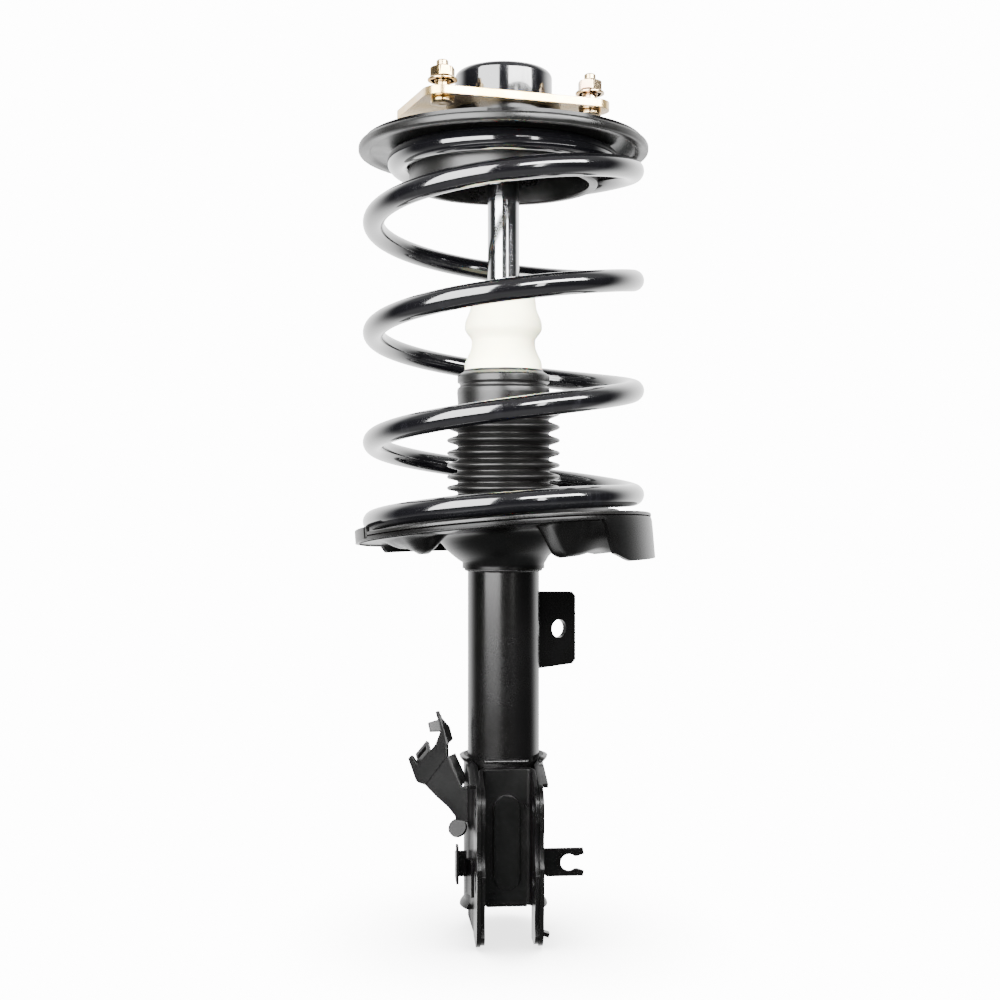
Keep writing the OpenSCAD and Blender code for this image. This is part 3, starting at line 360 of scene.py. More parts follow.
def group(t, effect, **inputs):
    """Places a shared effect in a material with its own values; returns its outputs."""
    node = t.add("Group", node_tree=once(effect))
    for key, value in inputs.items():
        t.plug(node.inputs[label(key)], value)
    return [Value(t, s) for s in node.outputs]


# ---- Finishes; each build returns colour, roughness, height and bump size ----

def tint(name, share=1.0):
    """One of the user's colours, or a share of it."""
    return tuple(c * share for c in getattr(bpy.context.scene.strut_finishes, name))


def coated(colour, lift, haze, grit, rub, rough, bump):
    """Paint, coat or rubber that is lift times paler where it is rubbed, or in its haze if rub is None.
    Haze, grit and rub size the effects; rough is what each of them adds to the least roughness."""
    def build(t):
        cloud = group(t, mottle, scale=haze)[0]
        height, mask = group(t, grain, scale=grit[0], detail=grit[1])
        pale = group(t, scuff, scale=rub[0], amount=rub[1])[0] if rub else cloud
        by_haze, by_grit, by_rub, least = rough
        total = cloud * by_haze + mask * by_grit + pale * by_rub + least
        return t.mix(pale, tint(colour), tint(colour, lift)), total, height, bump
    return build


def marked(dark, bright, marks, rough, bump):
    """Turned or ground metal; marks sizes them, rough is the share of them and the least roughness."""
    def build(t):
        lines = group(t, mottle, **marks)[0]
        return t.mix(lines, dark, bright), lines * rough[0] + rough[1], lines, bump
    return build


def chrome(t):
    return marked(tint("chrome", 0.93), tint("chrome"), {"scale": 40.0, "stretch": (0.3, 0.3, 9.0)},
                  (0.04, 0.11), 0.000002)(t)


def foam(t):
    place = t.put("TexCoord", output="Object")
    cells = t.put("TexVoronoi", {"Vector": place, "Scale": 1100.0}, feature="F1")
    soft = group(t, mottle, scale=60.0)[0]
    return t.mix(soft, tint("foam", 0.9), tint("foam")), cells * 0.1 + 0.62, cells * 0.6, 0.00012


def yellow_zinc(tone):
    def build(t):
        r, g, b = tint("zinc", tone)
        film = group(t, mottle, scale=45.0, sharpness=1.8)[0]
        pale = tuple(c + (1 - c) * 0.25 * tone for c in (r, g, b))
        base = t.ramp(film, [(0.0, (r * 0.85, g * 1.02, b * 1.2)), (0.35, (r, g, b)), (0.6, pale),
                             (1.0, (r, g * 0.82, b * 1.35))])
        height, mask = group(t, grain, scale=700.0, detail=2.0)
        return base, mask * 0.14 + 0.14, height, 0.00002
    return build


def moulded(*colour):
    def build(t):
        cloud = group(t, mottle, scale=50.0)[0]
        height, mask = group(t, grain, scale=1200.0)
        return t.mix(cloud, [c * 0.85 for c in colour], colour), mask * 0.12 + 0.38, height, 0.00004
    return build


def sintered(t):
    height, pores = group(t, grain, scale=2200.0, detail=4.0)
    return t.mix(pores, (0.2, 0.2, 0.2), (0.36, 0.35, 0.34)), pores * 0.2 + 0.4, height, 0.00005


GLOSS = coated("paint", 5, 25.0, (260.0, 1.0), (90.0, 0.25), (0.05, 0, 0.25, 0.09), 0.00001)
SATIN = coated("coat", 3, 18.0, (1400.0, 2.0), (70.0, 0.05), (0.1, 0.05, 0, 0.17), 0.000006)
PRESSED = coated("coat", 7, 22.0, (1100.0, 2.0), (110.0, 0.12), (0.1, 0.08, 0, 0.2), 0.00003)
FORGED = coated("coat", 3, 35.0, (900.0, 3.0), (120.0, 0.02), (0.14, 0.12, 0, 0.2), 0.000012)
WELDED = coated("coat", 3, 200.0, (1500.0, 3.0), None, (0, 0.15, 0, 0.14), 0.00008)
RUBBER = coated("rubber", 1.7, 40.0, (1800.0, 3.0), None, (0.14, 0.1, 0, 0.2), 0.00003)
TURNED = marked((0.42, 0.42, 0.43), (0.58, 0.58, 0.59), {"scale": 120.0, "stretch": (0.2, 0.2, 14.0)},
                (0.15, 0.25), 0.00002)
GROUND = marked((0.62, 0.62, 0.64), (0.7, 0.7, 0.72), {"scale": 90.0}, (0.04, 0.05), 0.000001)
METAL = {"metallic": 1.0}
RECIPES = {
    "gloss_black": (GLOSS, {"coat_weight": 1.0, "coat_roughness": 0.04, "specular_ior_level": 0.8}),
    "spring_paint": (GLOSS, {"coat_weight": 1.0, "coat_roughness": 0.02, "specular_ior_level": 0.9}),
    "satin_black": (SATIN, {"specular_ior_level": 0.4}),
    "seat_black": (PRESSED, {"coat_weight": 0.05, "coat_roughness": 0.15, "specular_ior_level": 0.17}),
    "clevis_black": (FORGED, {"edge": 0.9, "specular_ior_level": 0.25}),
    "weld_black": (WELDED, {}),
    "rubber": (RUBBER, {}),
    "foam": (foam, {"subsurface_weight": 0.2, "subsurface_scale": 0.004}),
    "plate_zinc": (yellow_zinc(1.0), {"metallic": 0.95, "edge": 0.9}),
    "zinc": (yellow_zinc(0.72), METAL),
    "rod_chrome": (chrome, METAL),
    "bare_steel": (TURNED, METAL),
    "ball_steel": (GROUND, METAL),
    "cage_plastic": (moulded(0.42, 0.25, 0.08), {}),
    "band_plastic": (moulded(0.10, 0.16, 0.13), {}),
    "sintered": (sintered, METAL),
}


def new_material(name):
    material = bpy.data.materials.new(name)
    material.use_nodes = True
    return material, Shading(material.node_tree)


def finish(slot):
    """The material of a slot; its edges look rounded by the edge radius in millimetres."""
    build, fixed = RECIPES[slot]
    material, t = new_material(slot)
    shader = t.tree.nodes["Principled BSDF"].inputs
    edge = fixed.get("edge", 0)
    for key, value in fixed.items():
        if key != "edge":
            t.plug(shader[label(key).replace("Ior", "IOR")], value)
    base, rough, height, size = build(t)
    t.plug(shader["Base Color"], base)
    t.plug(shader["Roughness"], rough)
    bumped = {"Strength": 1.0, "Distance": size, "Height": height}
    if edge:
        bumped["Normal"] = t.put("Bevel", {"Radius": edge * MM}, samples=6)
    t.plug(shader["Normal"], t.put("Bump", bumped))
    return material


def finish_of(slot):
    return once(finish, slot)


# ---- Geometry trees ----

class Modelling(Maker):
    family, kind = "GeometryNode", "GeometryNodeTree"

    def soften(self, geometry, limit=radians(32)):
        """Smooth shading that keeps every edge sharper than the limit."""
        bend = self.put("InputMeshEdgeAngle", output="Unsigned Angle")
        sharp = self.put("FunctionNodeCompare", {0: bend, 1: limit}, data_type="FLOAT",
                         operation="GREATER_THAN")
        smooth = self.put("SetShadeSmooth", {"Geometry": geometry, "Shade Smooth": True}, domain="FACE")
        return self.put("SetShadeSmooth", {"Geometry": smooth, "Selection": sharp, "Shade Smooth": False},
                        domain="EDGE")

    def close(self, geometry, material):
        """Ends the tree with real geometry in its finish."""
        real = self.put("RealizeInstances", {0: geometry})
        self.plug(self.out[0], self.put("SetMaterial", {0: real, "Material": material}))
        return self.tree


def new_modelling(name, **sizes):
    return new_group(Modelling, name, {"Geometry": "Geometry"},
                     {"geometry": "Geometry", **sizes, "material": "Material"})


def wire_tree():
    """A round tube along a line of points."""
    m, v = new_modelling("Swept Wire", radius=0.005, sides=16)
    line = m.put("MeshToCurve", {"Mesh": v["geometry"]})
    ring = m.put("CurvePrimitiveCircle", {"Resolution": v["sides"], "Radius": v["radius"]})
    skin = m.put("CurveToMesh", {"Curve": line, "Profile Curve": ring, "Fill Caps": True})
    return m.close(m.soften(skin), v["material"])


def lathe_tree():
    """A closed profile turned about Z. The profile lies in X and Y, X being the distance past the bore."""
    m, v = new_modelling("Lathe", bore_radius=0.01, steps=96)
    profile = m.put("MeshToCurve", {"Mesh": v["geometry"]})
    path = m.put("CurvePrimitiveCircle", {"Resolution": v["steps"], "Radius": v["bore_radius"]})
    skin = m.put("CurveToMesh", {"Curve": path, "Profile Curve": profile})
    return m.close(m.soften(skin), v["material"])


def ring_tree():
    """Copies of a piece on a circle about Z, each turned to face outwards."""
    m, v = new_modelling("Ring Of Copies", count=3, circle_radius=0.05, first_angle=0.0, own_turn=0.0)
    points = m.put("Points", {"Count": v["count"]})
    index = m.put("InputIndex")
    turn = m.maths("MULTIPLY_ADD", index / v["count"], tau, v["first_angle"])
    spot = m.vector(m.maths("COSINE", turn) * v["circle_radius"], m.maths("SINE", turn) * v["circle_radius"])
    placed = m.put("SetPosition", {"Geometry": points, "Position": spot})
    own = turn + v["own_turn"] * (index + 1.0)
    rotation = m.put("FunctionNodeEulerToRotation", {0: m.vector(z=own)})
    copies = m.put("InstanceOnPoints", {"Points": placed, "Instance": v["geometry"], "Rotation": rotation})
    return m.close(copies, v["material"])


def thread_tree():
    """A threaded rod: a fine cylinder whose skin rises and falls along a helix, plain at both ends."""
    flat, steepness, run_out = 0.06, 2.7, 0.6
    m, v = new_modelling("Thread", radius=0.005, depth=0.0009, pitch=0.0015, low=0.0, height=0.01, steps=100,
                         sides=40)
    rod = m.put("MeshCylinder", {"Vertices": v["sides"], "Side Segments": v["steps"], "Radius": v["radius"],
                                 "Depth": v["height"]})
    x, y, z = m.split(m.put("InputPosition"))
    turns = z / v["pitch"] - m.maths("ARCTAN2", y, x) / tau
    wave = m.maths("PINGPONG", turns, 0.5)
    crest = m.maths("MINIMUM", m.maths("MAXIMUM", wave - flat, 0.0) * steepness, 1.0)
    half = v["height"] * 0.5
    fade = 1.0 - (half - m.maths("ABSOLUTE", z)) / v["pitch"]
    cut = m.maths("MAXIMUM", 1.0 - crest, m.maths("MAXIMUM", fade * run_out, 0.0))
    share = 1.0 - cut * v["depth"] / v["radius"]
    spot = m.vector(x * share, y * share, z + (half + v["low"]))
    moved = m.put("SetPosition", {"Geometry": rod, "Position": spot})
    return m.close(m.soften(moved, radians(50)), v["material"])


def bead_tree():
    """A weld bead: overlapping rounded ripples along a line of points, of slightly uneven size."""
    m, v = new_modelling("Weld Bead", bead_radius=0.002, ripple=0.0014, unevenness=0.15, seed=3)
    line = m.put("MeshToCurve", {"Mesh": v["geometry"]})
    spots = m.put("ResampleCurve", {"Curve": line, "Length": v["ripple"]}, mode="LENGTH")
    points = m.add("CurveToPoints", {"Curve": spots}, mode="EVALUATED").outputs
    ball = m.put("MeshIcoSphere", {"Radius": v["bead_radius"], "Subdivisions": 3})
    size = m.add("FunctionNodeRandomValue", {"Min": 1.0 - v["unevenness"], "Max": 1.0, "Seed": v["seed"]},
                 data_type="FLOAT")
    copies = m.put("InstanceOnPoints", {
        "Points": Value(m, points["Points"]), "Instance": ball, "Rotation": Value(m, points["Rotation"]),
        "Scale": Value(m, next(s for s in size.outputs if s.enabled))})
    real = m.put("RealizeInstances", {0: copies})
    smooth = m.put("SetShadeSmooth", {"Geometry": real, "Shade Smooth": True}, domain="FACE")
    return m.close(smooth, v["material"])


def clean_tree():
    """Joins a CAD node's loose triangles and shades its curved faces smooth."""
    m, v = new_modelling("Clean Faces", merge_distance=0.000002, sharp_angle=radians(26))
    whole = m.put("MergeByDistance", {"Geometry": v["geometry"], "Distance": v["merge_distance"]})
    return m.close(m.soften(whole, v["sharp_angle"]), v["material"])


def add_tree(obj, make, slot, **inputs):
    """Puts a geometry tree on an object and sets its inputs by their sockets' identifiers."""
    tree = once(make)
    modifier = obj.modifiers.new(tree.name, "NODES")
    modifier.node_group = tree
    sockets = {s.name: s.identifier for s in tree.interface.items_tree if s.in_out == "INPUT"}
    for key, value in {**inputs, "material": finish_of(slot)}.items():
        modifier[sockets[label(key)]] = value
    return obj


# ---- Meshes ----

class editing:
    """Opens an object's mesh for editing and writes it back."""

    def __init__(self, obj):
        self.obj, self.bm = obj, bmesh.new()

    def __enter__(self):
        self.bm.from_mesh(self.obj.data)
        return self.bm

    def __exit__(self, *error):
        self.bm.to_mesh(self.obj.data)
        self.bm.free()


def object_from(name, points, edges=(), faces=()):
    mesh = bpy.data.meshes.new(name)
    mesh.from_pydata([tuple(p) for p in points], edges, faces)
    obj = bpy.data.objects.new(name, mesh)
    bpy.context.scene.collection.objects.link(obj)
    return obj


def made_real(obj):
    """The evaluated object as a plain mesh, without modifiers."""
    bpy.context.view_layer.update()
    whole = bpy.data.meshes.new_from_object(obj.evaluated_get(bpy.context.evaluated_depsgraph_get()))
    whole.name = obj.name
    obj.modifiers.clear()
    obj.data = whole
    return obj


def merged(obj, others):
    """Adds the meshes of others to obj and removes them."""
    with editing(obj) as bm:
        for other in others:
            bm.from_mesh(other.data)
            bpy.data.objects.remove(other)
    return obj


def moved(obj, matrix):
    obj.data.transform(matrix)
    return obj


def outwards(obj):
    """Closes the seams of a mesh and turns its faces to the outside."""
    with editing(obj) as bm:
        bmesh.ops.remove_doubles(bm, verts=bm.verts, dist=1e-7)
        bmesh.ops.recalc_face_normals(bm, faces=bm.faces)
    return obj


def finished(obj, slot):
    """Gives an object the finish of one slot alone."""
    obj.data.materials.clear()
    obj.data.materials.append(finish_of(slot))
    return obj


def span(name):
    """The lowest and the highest point of a CAD node, in millimetres."""
    return mm(*(corner.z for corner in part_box(name)))


def ride(obj, body, slot, *replaced):
    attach(obj, body)
    if replaced:
        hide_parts(*replaced)
    return obj


# ---- Profiles, in millimetres ----

SAME_POINT, STRAIGHT, FACET = 1e-9, radians(88), radians(14)


def rounded(profile, radii):
    """A closed profile with each corner rounded by its own radius."""
    points = []
    n = len(profile)
    for i, corner in enumerate(profile):
        r = radii[i] if isinstance(radii, (list, tuple)) else radii
        here = Vector(corner)
        before, after = Vector(profile[i - 1]) - here, Vector(profile[(i + 1) % n]) - here
        a, b = before.normalized(), after.normalized()
        half = a.angle(b, 0) / 2
        if r <= 0 or min(before.length, after.length) < SAME_POINT or half > STRAIGHT:
            points.append(here)
            continue
        reach = min(r / tan(half), before.length * 0.49, after.length * 0.49)
        r = reach * tan(half)
        centre = here + (a + b).normalized() * (r / sin(half))
        start, end = here + a * reach, here + b * reach
        steps = max(2, round((pi - 2 * half) / FACET))
        sweep = (start - centre).angle_signed(end - centre)
        for k in range(steps + 1):
            arm = start - centre
            arm.rotate(Matrix.Rotation(-sweep * k / steps, 2))
            points.append(centre + arm)
    return points


def turned(name, profile, slot, radii=0.6, steps=128, bore=None):
    """A piece turned from a closed profile of (radius, height)."""
    points = rounded(profile, radii)
    inner = bore if bore is not None else max(min(p[0] for p in points), 0.5)
    n = len(points)
    line = object_from(name, [((p[0] - inner) * MM, -p[1] * MM, 0) for p in points],
                       [(i, (i + 1) % n) for i in range(n)])
    return outwards(made_real(add_tree(line, lathe_tree, slot, bore_radius=inner * MM, steps=steps)))


def swell(r0, z0, r1, z1, n):
    """Points of a smooth step in radius over a height."""
    return [(r0 + (r1 - r0) * (1 - cos(pi * i / n)) / 2, z0 + (z1 - z0) * i / n) for i in range(n + 1)]


def arc(x, y, r, a, b, n):
    turns = (radians(a + (b - a) * i / n) for i in range(n + 1))
    return [(x + r * cos(t), y + r * sin(t)) for t in turns]


def blend(value, low, high):
    """A smooth step from 0 at low to 1 at high."""
    u = min(max((value - low) / (high - low), 0), 1)
    return u * u * (3 - 2 * u)


def hill(value, middle, half):
    """A smooth hill that is 1 at the middle and 0 past half."""
    u = abs(value - middle) / half
    return (1 - u * u) ** 2 if u < 1 else 0.0


def soft_max(u, v, softness):
    return (u + v) / 2 + sqrt(((u - v) / 2) ** 2 + softness * softness)


# ---- The spring ----

LIFT_OFF, SETTLE = 0.0055, 0.002     # how gently the wire leaves the lower seat and meets the upper one
DRAW_IN = radians(345)               # the last part of the wire, in which it comes in to the top coil
SOFT_GAP = 0.0003                    # between a soft part and what it rests on


def spring_top(p):
    """Height of the wire's centre line under the upper rubber seat."""
    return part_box("upper_rubber_seat")[1].z - bpy.context.scene.strut_seats.rubber_t - SOFT_GAP - p.wire_r


def spring_path(p, seats):
    """Centre line of the wire: flat on both seats, a steady climb between, the top coil drawn in."""
    resting, slope, z_top = seats.pad_t + p.wire_r, tan(seats.tilt), spring_top(p)

    def resting_z(a):
        return -seats.low_depth + slope * p.coil_r * cos(a - seats.high_turn) + resting / cos(seats.tilt)

    rate = (z_top - resting_z(p.leave)) / (p.meet - p.leave)
    points = []
    steps = round((p.end - p.start) / tau * p.steps)
    for i in range(steps + 1):
        a = p.start + (p.end - p.start) * i / steps
        low = soft_max(resting_z(a), resting_z(p.leave) + rate * (a - p.leave), LIFT_OFF)
        drawn = min(max((a - (p.end - DRAW_IN)) / pi, 0), 1)
        r = p.coil_r + (p.top_r - p.coil_r) * (1 - cos(pi * drawn)) / 2
        points.append(polar(r, a, -soft_max(-low, -z_top, SETTLE)))
    return points


class STRUT_OT_spring(Operator):
    """Build the coil spring as one painted wire"""
    bl_idname = "strut.spring"
    bl_label = "Coil Spring"

    def execute(self, context):
        p = context.scene.strut_spring
        points = spring_path(p, context.scene.strut_seats)
        coil = object_from("coil_spring_painted", points, [(i, i + 1) for i in range(len(points) - 1)])
        add_tree(coil, wire_tree, "spring_paint", radius=p.wire_r, sides=p.sides)
        ride(outwards(made_real(coil)), "strut_body", "spring_paint", "coil_spring")
        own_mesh(coil)
        return {"FINISHED"}


# ---- Soft parts ----

class STRUT_OT_bump_stop(Operator):
    """Build the foam bump stop on the rod"""
    bl_idname = "strut.bump_stop"
    bl_label = "Bump Stop"

    def execute(self, context):
        p = context.scene.strut_bump_stop
        (bore, top, foot), wide, pressed = mm(p.bore_r, -p.top, -p.foot), 27, 0.53
        outline = [(bore, foot), (wide, foot), (wide, -184)]
        outline += swell(wide, -181, 22.2, -165.5, 10)[1:] + swell(22.0, -164, wide, -154, 10)[1:]
        outline += swell(26.9, -152.5, 22.8, -138, 8)[1:]
        outline += [(22.2, -133), (20.8, top - 3), (20, top - 1), (18, top), (bore, top)]
        stop = turned("bump_stop_foam", outline, "foam", radii=0.5, steps=96)
        ride(stop, "strut_body", "foam", "bump_stop")
        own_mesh(stop)
        return {"FINISHED"}


class STRUT_OT_boot(Operator):
    """Build the ribbed dust boot"""
    bl_idname = "strut.boot"
    bl_label = "Dust Boot"

    def execute(self, context):
        p = context.scene.strut_boot
        top, collar, rib, valley, wall, pitch, low_pitch = mm(
            -p.top, p.collar_r, p.rib_r, p.valley_r, p.wall, p.pitch_top, p.pitch_low)
        grip, neck, cuff, cuff_h, first_rib, margin = 27.3, valley - 1.5, 27.7, 7, 30.2, 4.5

        def rib_z(i):
            return top - first_rib - i * pitch - (low_pitch - pitch) * i * (i - 1) / 2 / (p.ribs - 2)

        outside = [(r, top - down) for r, down in (
            (collar - 4.6, 0), (collar - 4.2, 1.4), (collar - 0.6, 3.4), (collar, 4.6), (collar, 8.6),
            (neck, 10), (neck, 11.4), (collar, 13), (collar + 0.3, 16), (collar, 19.5), (valley, 22))]
        outside += [(valley, rib_z(0) + margin)]
        for i in range(p.ribs):
            outside += [(rib - back, rib_z(i) + up)
                        for back, up in ((1.2, 1.5), (0, 0.5), (0, -0.5), (1.2, -1.5))]
            if i < p.ribs - 1:
                low = (rib_z(i) + rib_z(i + 1)) / 2
                outside += [(valley + out, low + up)
                            for out, up in ((0.5, 1.0), (0, 0.3), (0, -0.3), (0.5, -1.0))]
        foot = rib_z(p.ribs - 1) - 12
        outside += [(cuff, foot + cuff_h), (cuff, foot)]
        inside = [(cuff - wall, foot), (cuff - wall, foot + cuff_h)]
        for i in reversed(range(p.ribs)):
            inside += [(rib - wall, rib_z(i))]
            if i:
                inside += [(valley - wall, (rib_z(i) + rib_z(i - 1)) / 2)]
        inside += [(valley - wall, rib_z(0) + margin), (valley - wall, top - 22), (neck - wall, top - 12),
                   (grip, top - 10), (grip, top)]
        boot = turned("dust_boot_rubber", outside + inside, "rubber", radii=0.5, steps=128, bore=24)
        ride(boot, "strut_body", "rubber", "dust_boot")
        return {"FINISHED"}


def on_lower_seat():
    """From the lower seat's own frame to the whole strut's."""
    p = bpy.context.scene.strut_seats
    turn = Matrix.Rotation(p.high_turn, 4, "Z")
    tilt = Matrix.Rotation(-p.tilt, 4, "Y")
    return Matrix.Translation((0, 0, -p.low_depth)) @ turn @ tilt @ turn.inverted()


class STRUT_OT_rubber_seats(Operator):
    """Build the rubber under both ends of the spring and the bush in the cup"""
    bl_idname = "strut.rubber_seats"
    bl_label = "Rubber Seats"

    def execute(self, context):
        p, spring = context.scene.strut_seats, context.scene.strut_spring
        top = span("upper_rubber_seat")[1]
        foot, out = top - p.rubber_t / MM, p.rubber_r / MM
        collar_out = (spring.top_r - spring.wire_r) / MM - SOFT_GAP / MM
        collar_in, low = collar_out - p.collar_wall / MM, foot - p.collar_depth / MM
        inner, drop = out - p.bead_w / MM, foot - p.bead_drop / MM
        seat = turned("upper_rubber_ring", [
            (collar_in, top), (out - 0.8, top), (out, top - 1.5), (out, drop), (inner, drop),
            (inner - 2, foot), (collar_out, foot), (collar_out, low), (collar_in, low)],
            "rubber", radii=[0.3, 0.6, 2, 3, 3, 2, 0.4, 1.6, 1.6], steps=160)
        ride(seat, "upper_seat", "rubber", "upper_rubber_seat")

        ridge = (spring.coil_r - spring.wire_r) / MM - 0.6
        edge, t = mm(p.pad_r, p.pad_t)
        pad = turned("lower_rubber_ring", [
            (ridge - 5, 0), (edge, 0), (edge, t), (ridge + 2, t), (ridge - 1, t + 4), (ridge - 4, t + 4),
            (ridge - 5, t + 3)], "rubber", radii=[0.2, 0.5, 0.7, 1, 0.7, 0.7, 0.4], steps=160)
        ride(moved(pad, on_lower_seat()), "strut_body", "rubber", "lower_rubber_pad")

        low, high = span("mount_rubber")
        bond, wall = 12.05, 31.45
        bush = turned("mount_bush_rubber", [
            (bond, low), (16, low), (20, low + 2.2), (24, low + 2.2), (wall, low), (wall, high),
            (25, high - 3), (21, high - 3), (16, high), (bond, high)],
            "rubber", radii=[0.2, 1.5, 2, 2, 0.3, 0.3, 2, 2, 1.5, 0.2], steps=96)
        ride(bush, "top_mount", "rubber", "mount_rubber")
        return {"FINISHED"}


# ---- Pressed, plated and turned pieces ----

class STRUT_OT_cup(Operator):
    """Build the pressed cup of the top mount"""
    bl_idname = "strut.cup"
    bl_label = "Mount Cup"

    def execute(self, context):
        high = span("mount_cup")[1]
        r, wall, edge, mouth = 34.0, 2.5, 5.0, 17.0
        outside = [(r, 0), *arc(r - edge, high - edge, edge, 0, 90, 14), (mouth, high)]
        inside = [(mouth, high - wall), *arc(r - edge, high - edge, edge - wall, 90, 0, 12), (r - wall, 0)]
        cup = turned("mount_cup_pressed", outside + inside, "gloss_black", radii=0.5, steps=160)
        ride(cup, "top_mount", "gloss_black", "mount_cup")
        return {"FINISHED"}


SEAT_TURNS = 288                     # facets of the lower seat's sheet
COLLAR = (-321.4, -319.6, -317.4)    # heights of its collar round the tube
TUBE_GAP = 0.9                       # between the middle of that collar and the tube
CONE = [(28.2, -19.4), (31.2, -17.2), (35, -13.7), (38.3, -10.3), (40.6, -6.9), (43.4, -3.6), (47, -1.3),
        (51.6, -0.3), *((r, 0) for r in (56, 60, 64, 68, 72, 76, 80, 84, 86, 90, 94, 97, 99.5))]
LUMPS = (13, 219, 14, 70, 17), (7.5, 203, 14, 73, 18)    # depth, bearing, its spread, radius, its spread
POCKET, BEAD = 21.0, 1.3             # depth of the side pocket and of the six pressed beads
DRAIN = (185, 19)                    # bearing of the drain hole, and the point before it along the sheet
LIP = (133, 207, 6)                  # bearings between which the rear lip stands, and its height
SHEET_EDGE = 0.5                     # how far the plain edge is turned down


def seat_dip(r, a):
    """How far the pressed lumps and the side pocket hang below the lower seat at a radius and a bearing."""
    lumps = sum(deep * hill(a, at, turn) * hill(r, middle, reach) for deep, at, turn, middle, reach in LUMPS)
    side = blend(a, 290, 300) * (1 - blend(a, 325, 345))
    wave = 1 + 0.08 * sin(radians((a - 292) * 11))
    pocket = POCKET * side * wave * blend(r, 54, 70) * (1 - blend(r, 84, 97))
    beads = BEAD * hill(r, 78, 9) * max(cos(radians(6 * a)), 0) ** 2 * (1 - side)
    return lumps + pocket + beads


def guard_depth(p, a):
    """How far the edge of the lower seat is turned down at a bearing in degrees."""
    foot = p.guard / MM + p.rim_r / MM * tan(p.tilt) * cos(radians(a) - p.high_turn)
    start = 0.78 * blend(a, 309, 312.5) + 0.22 * blend(a, 310, 323)
    guard = start + (1 - blend(a, 148, 152) if a < 180 else 0)
    return SHEET_EDGE + (foot - p.sheet / MM - SHEET_EDGE) * min(guard, 1)


def seat_row(p, a, place):
    """The lower seat's sheet at one bearing, from its collar to the foot of its edge, in metres."""
    across = polar(1, radians(a))
    (rim, t), drop = mm(p.rim_r, p.sheet), guard_depth(p, a)
    edge = [(rim - 1.4, -0.2), (rim - 0.4, -0.8), (rim, -t)]
    edge += [(rim + 0.1, -t - drop * u) for u in (0.25, 0.5, 0.75, 1)]
    return [(across * (p.tube_r / MM + TUBE_GAP) + Vector((0, 0, z))) * MM for z in COLLAR] + [
        place @ ((across * r + Vector((0, 0, z - seat_dip(r, a)))) * MM) for r, z in CONE + edge]


def drain_hole(p, rows):
    """Draws the points round the drain hole on to its circle; returns the faces that it takes away."""
    k, j = round(DRAIN[0] / 360 * SEAT_TURNS), DRAIN[1]
    centre = rows[k][j].lerp(rows[k + 1][j + 1], 0.5)
    for x in range(-1, 3):
        for y in range(-1, 3):
            if x in (-1, 2) or y in (-1, 2):
                v = rows[k + x][j + y]
                arm = v - centre
                v.xy = centre.xy + arm.xy.normalized() * p.drain_r
                v.z = centre.z + arm.z * 0.3
    return {(k + x, j + y) for x in (-1, 0, 1) for y in (-1, 0, 1)}


class STRUT_OT_lower_seat(Operator):
    """Press the lower spring seat from one sheet: collar, cone, rim, lumps, turned edge and guard"""
    bl_idname = "strut.lower_seat"
    bl_label = "Lower Spring Seat"

    def execute(self, context):
        p = context.scene.strut_seats
        place = on_lower_seat()
        rows = [seat_row(p, 360 * k / SEAT_TURNS, place) for k in range(SEAT_TURNS)]
        n, gone = len(rows[0]), drain_hole(p, rows)
        faces = []
        for k in range(SEAT_TURNS):
            here, there = k * n, (k + 1) % SEAT_TURNS * n
            faces += [(here + i, there + i, there + i + 1, here + i + 1)
                      for i in range(n - 1) if (k, i) not in gone]
        seat = object_from("lower_spring_seat_pressed", [v for row in rows for v in row], (), faces)
        finished(outwards(seat), "seat_black")
        wall = seat.modifiers.new("sheet", "SOLIDIFY")
        wall.thickness, wall.offset, wall.use_even_offset = p.sheet, -1, True
        made_real(seat)
        made_real(add_tree(seat, clean_tree, "seat_black", merge_distance=1e-7, sharp_angle=radians(38)))

        first, last, high = LIP
        rim, t = mm(p.rim_r, p.sheet)
        lip = turned("rear_lip", [(rim - t, -t), (rim, -t), (rim, high), (rim - t, high)], "seat_black",
                     radii=1.2, steps=144)
        with editing(lip) as bm:
            outside = [f for f in bm.faces
                       if not first < degrees(atan2(*f.calc_center_median().yx)) % 360 < last]
            bmesh.ops.delete(bm, geom=outside, context="FACES")
            bmesh.ops.holes_fill(bm, edges=[e for e in bm.edges if e.is_boundary])
            bmesh.ops.recalc_face_normals(bm, faces=bm.faces)
        ride(merged(seat, [moved(lip, place)]), "strut_body", "satin_black", "lower_spring_seat")
        return {"FINISHED"}


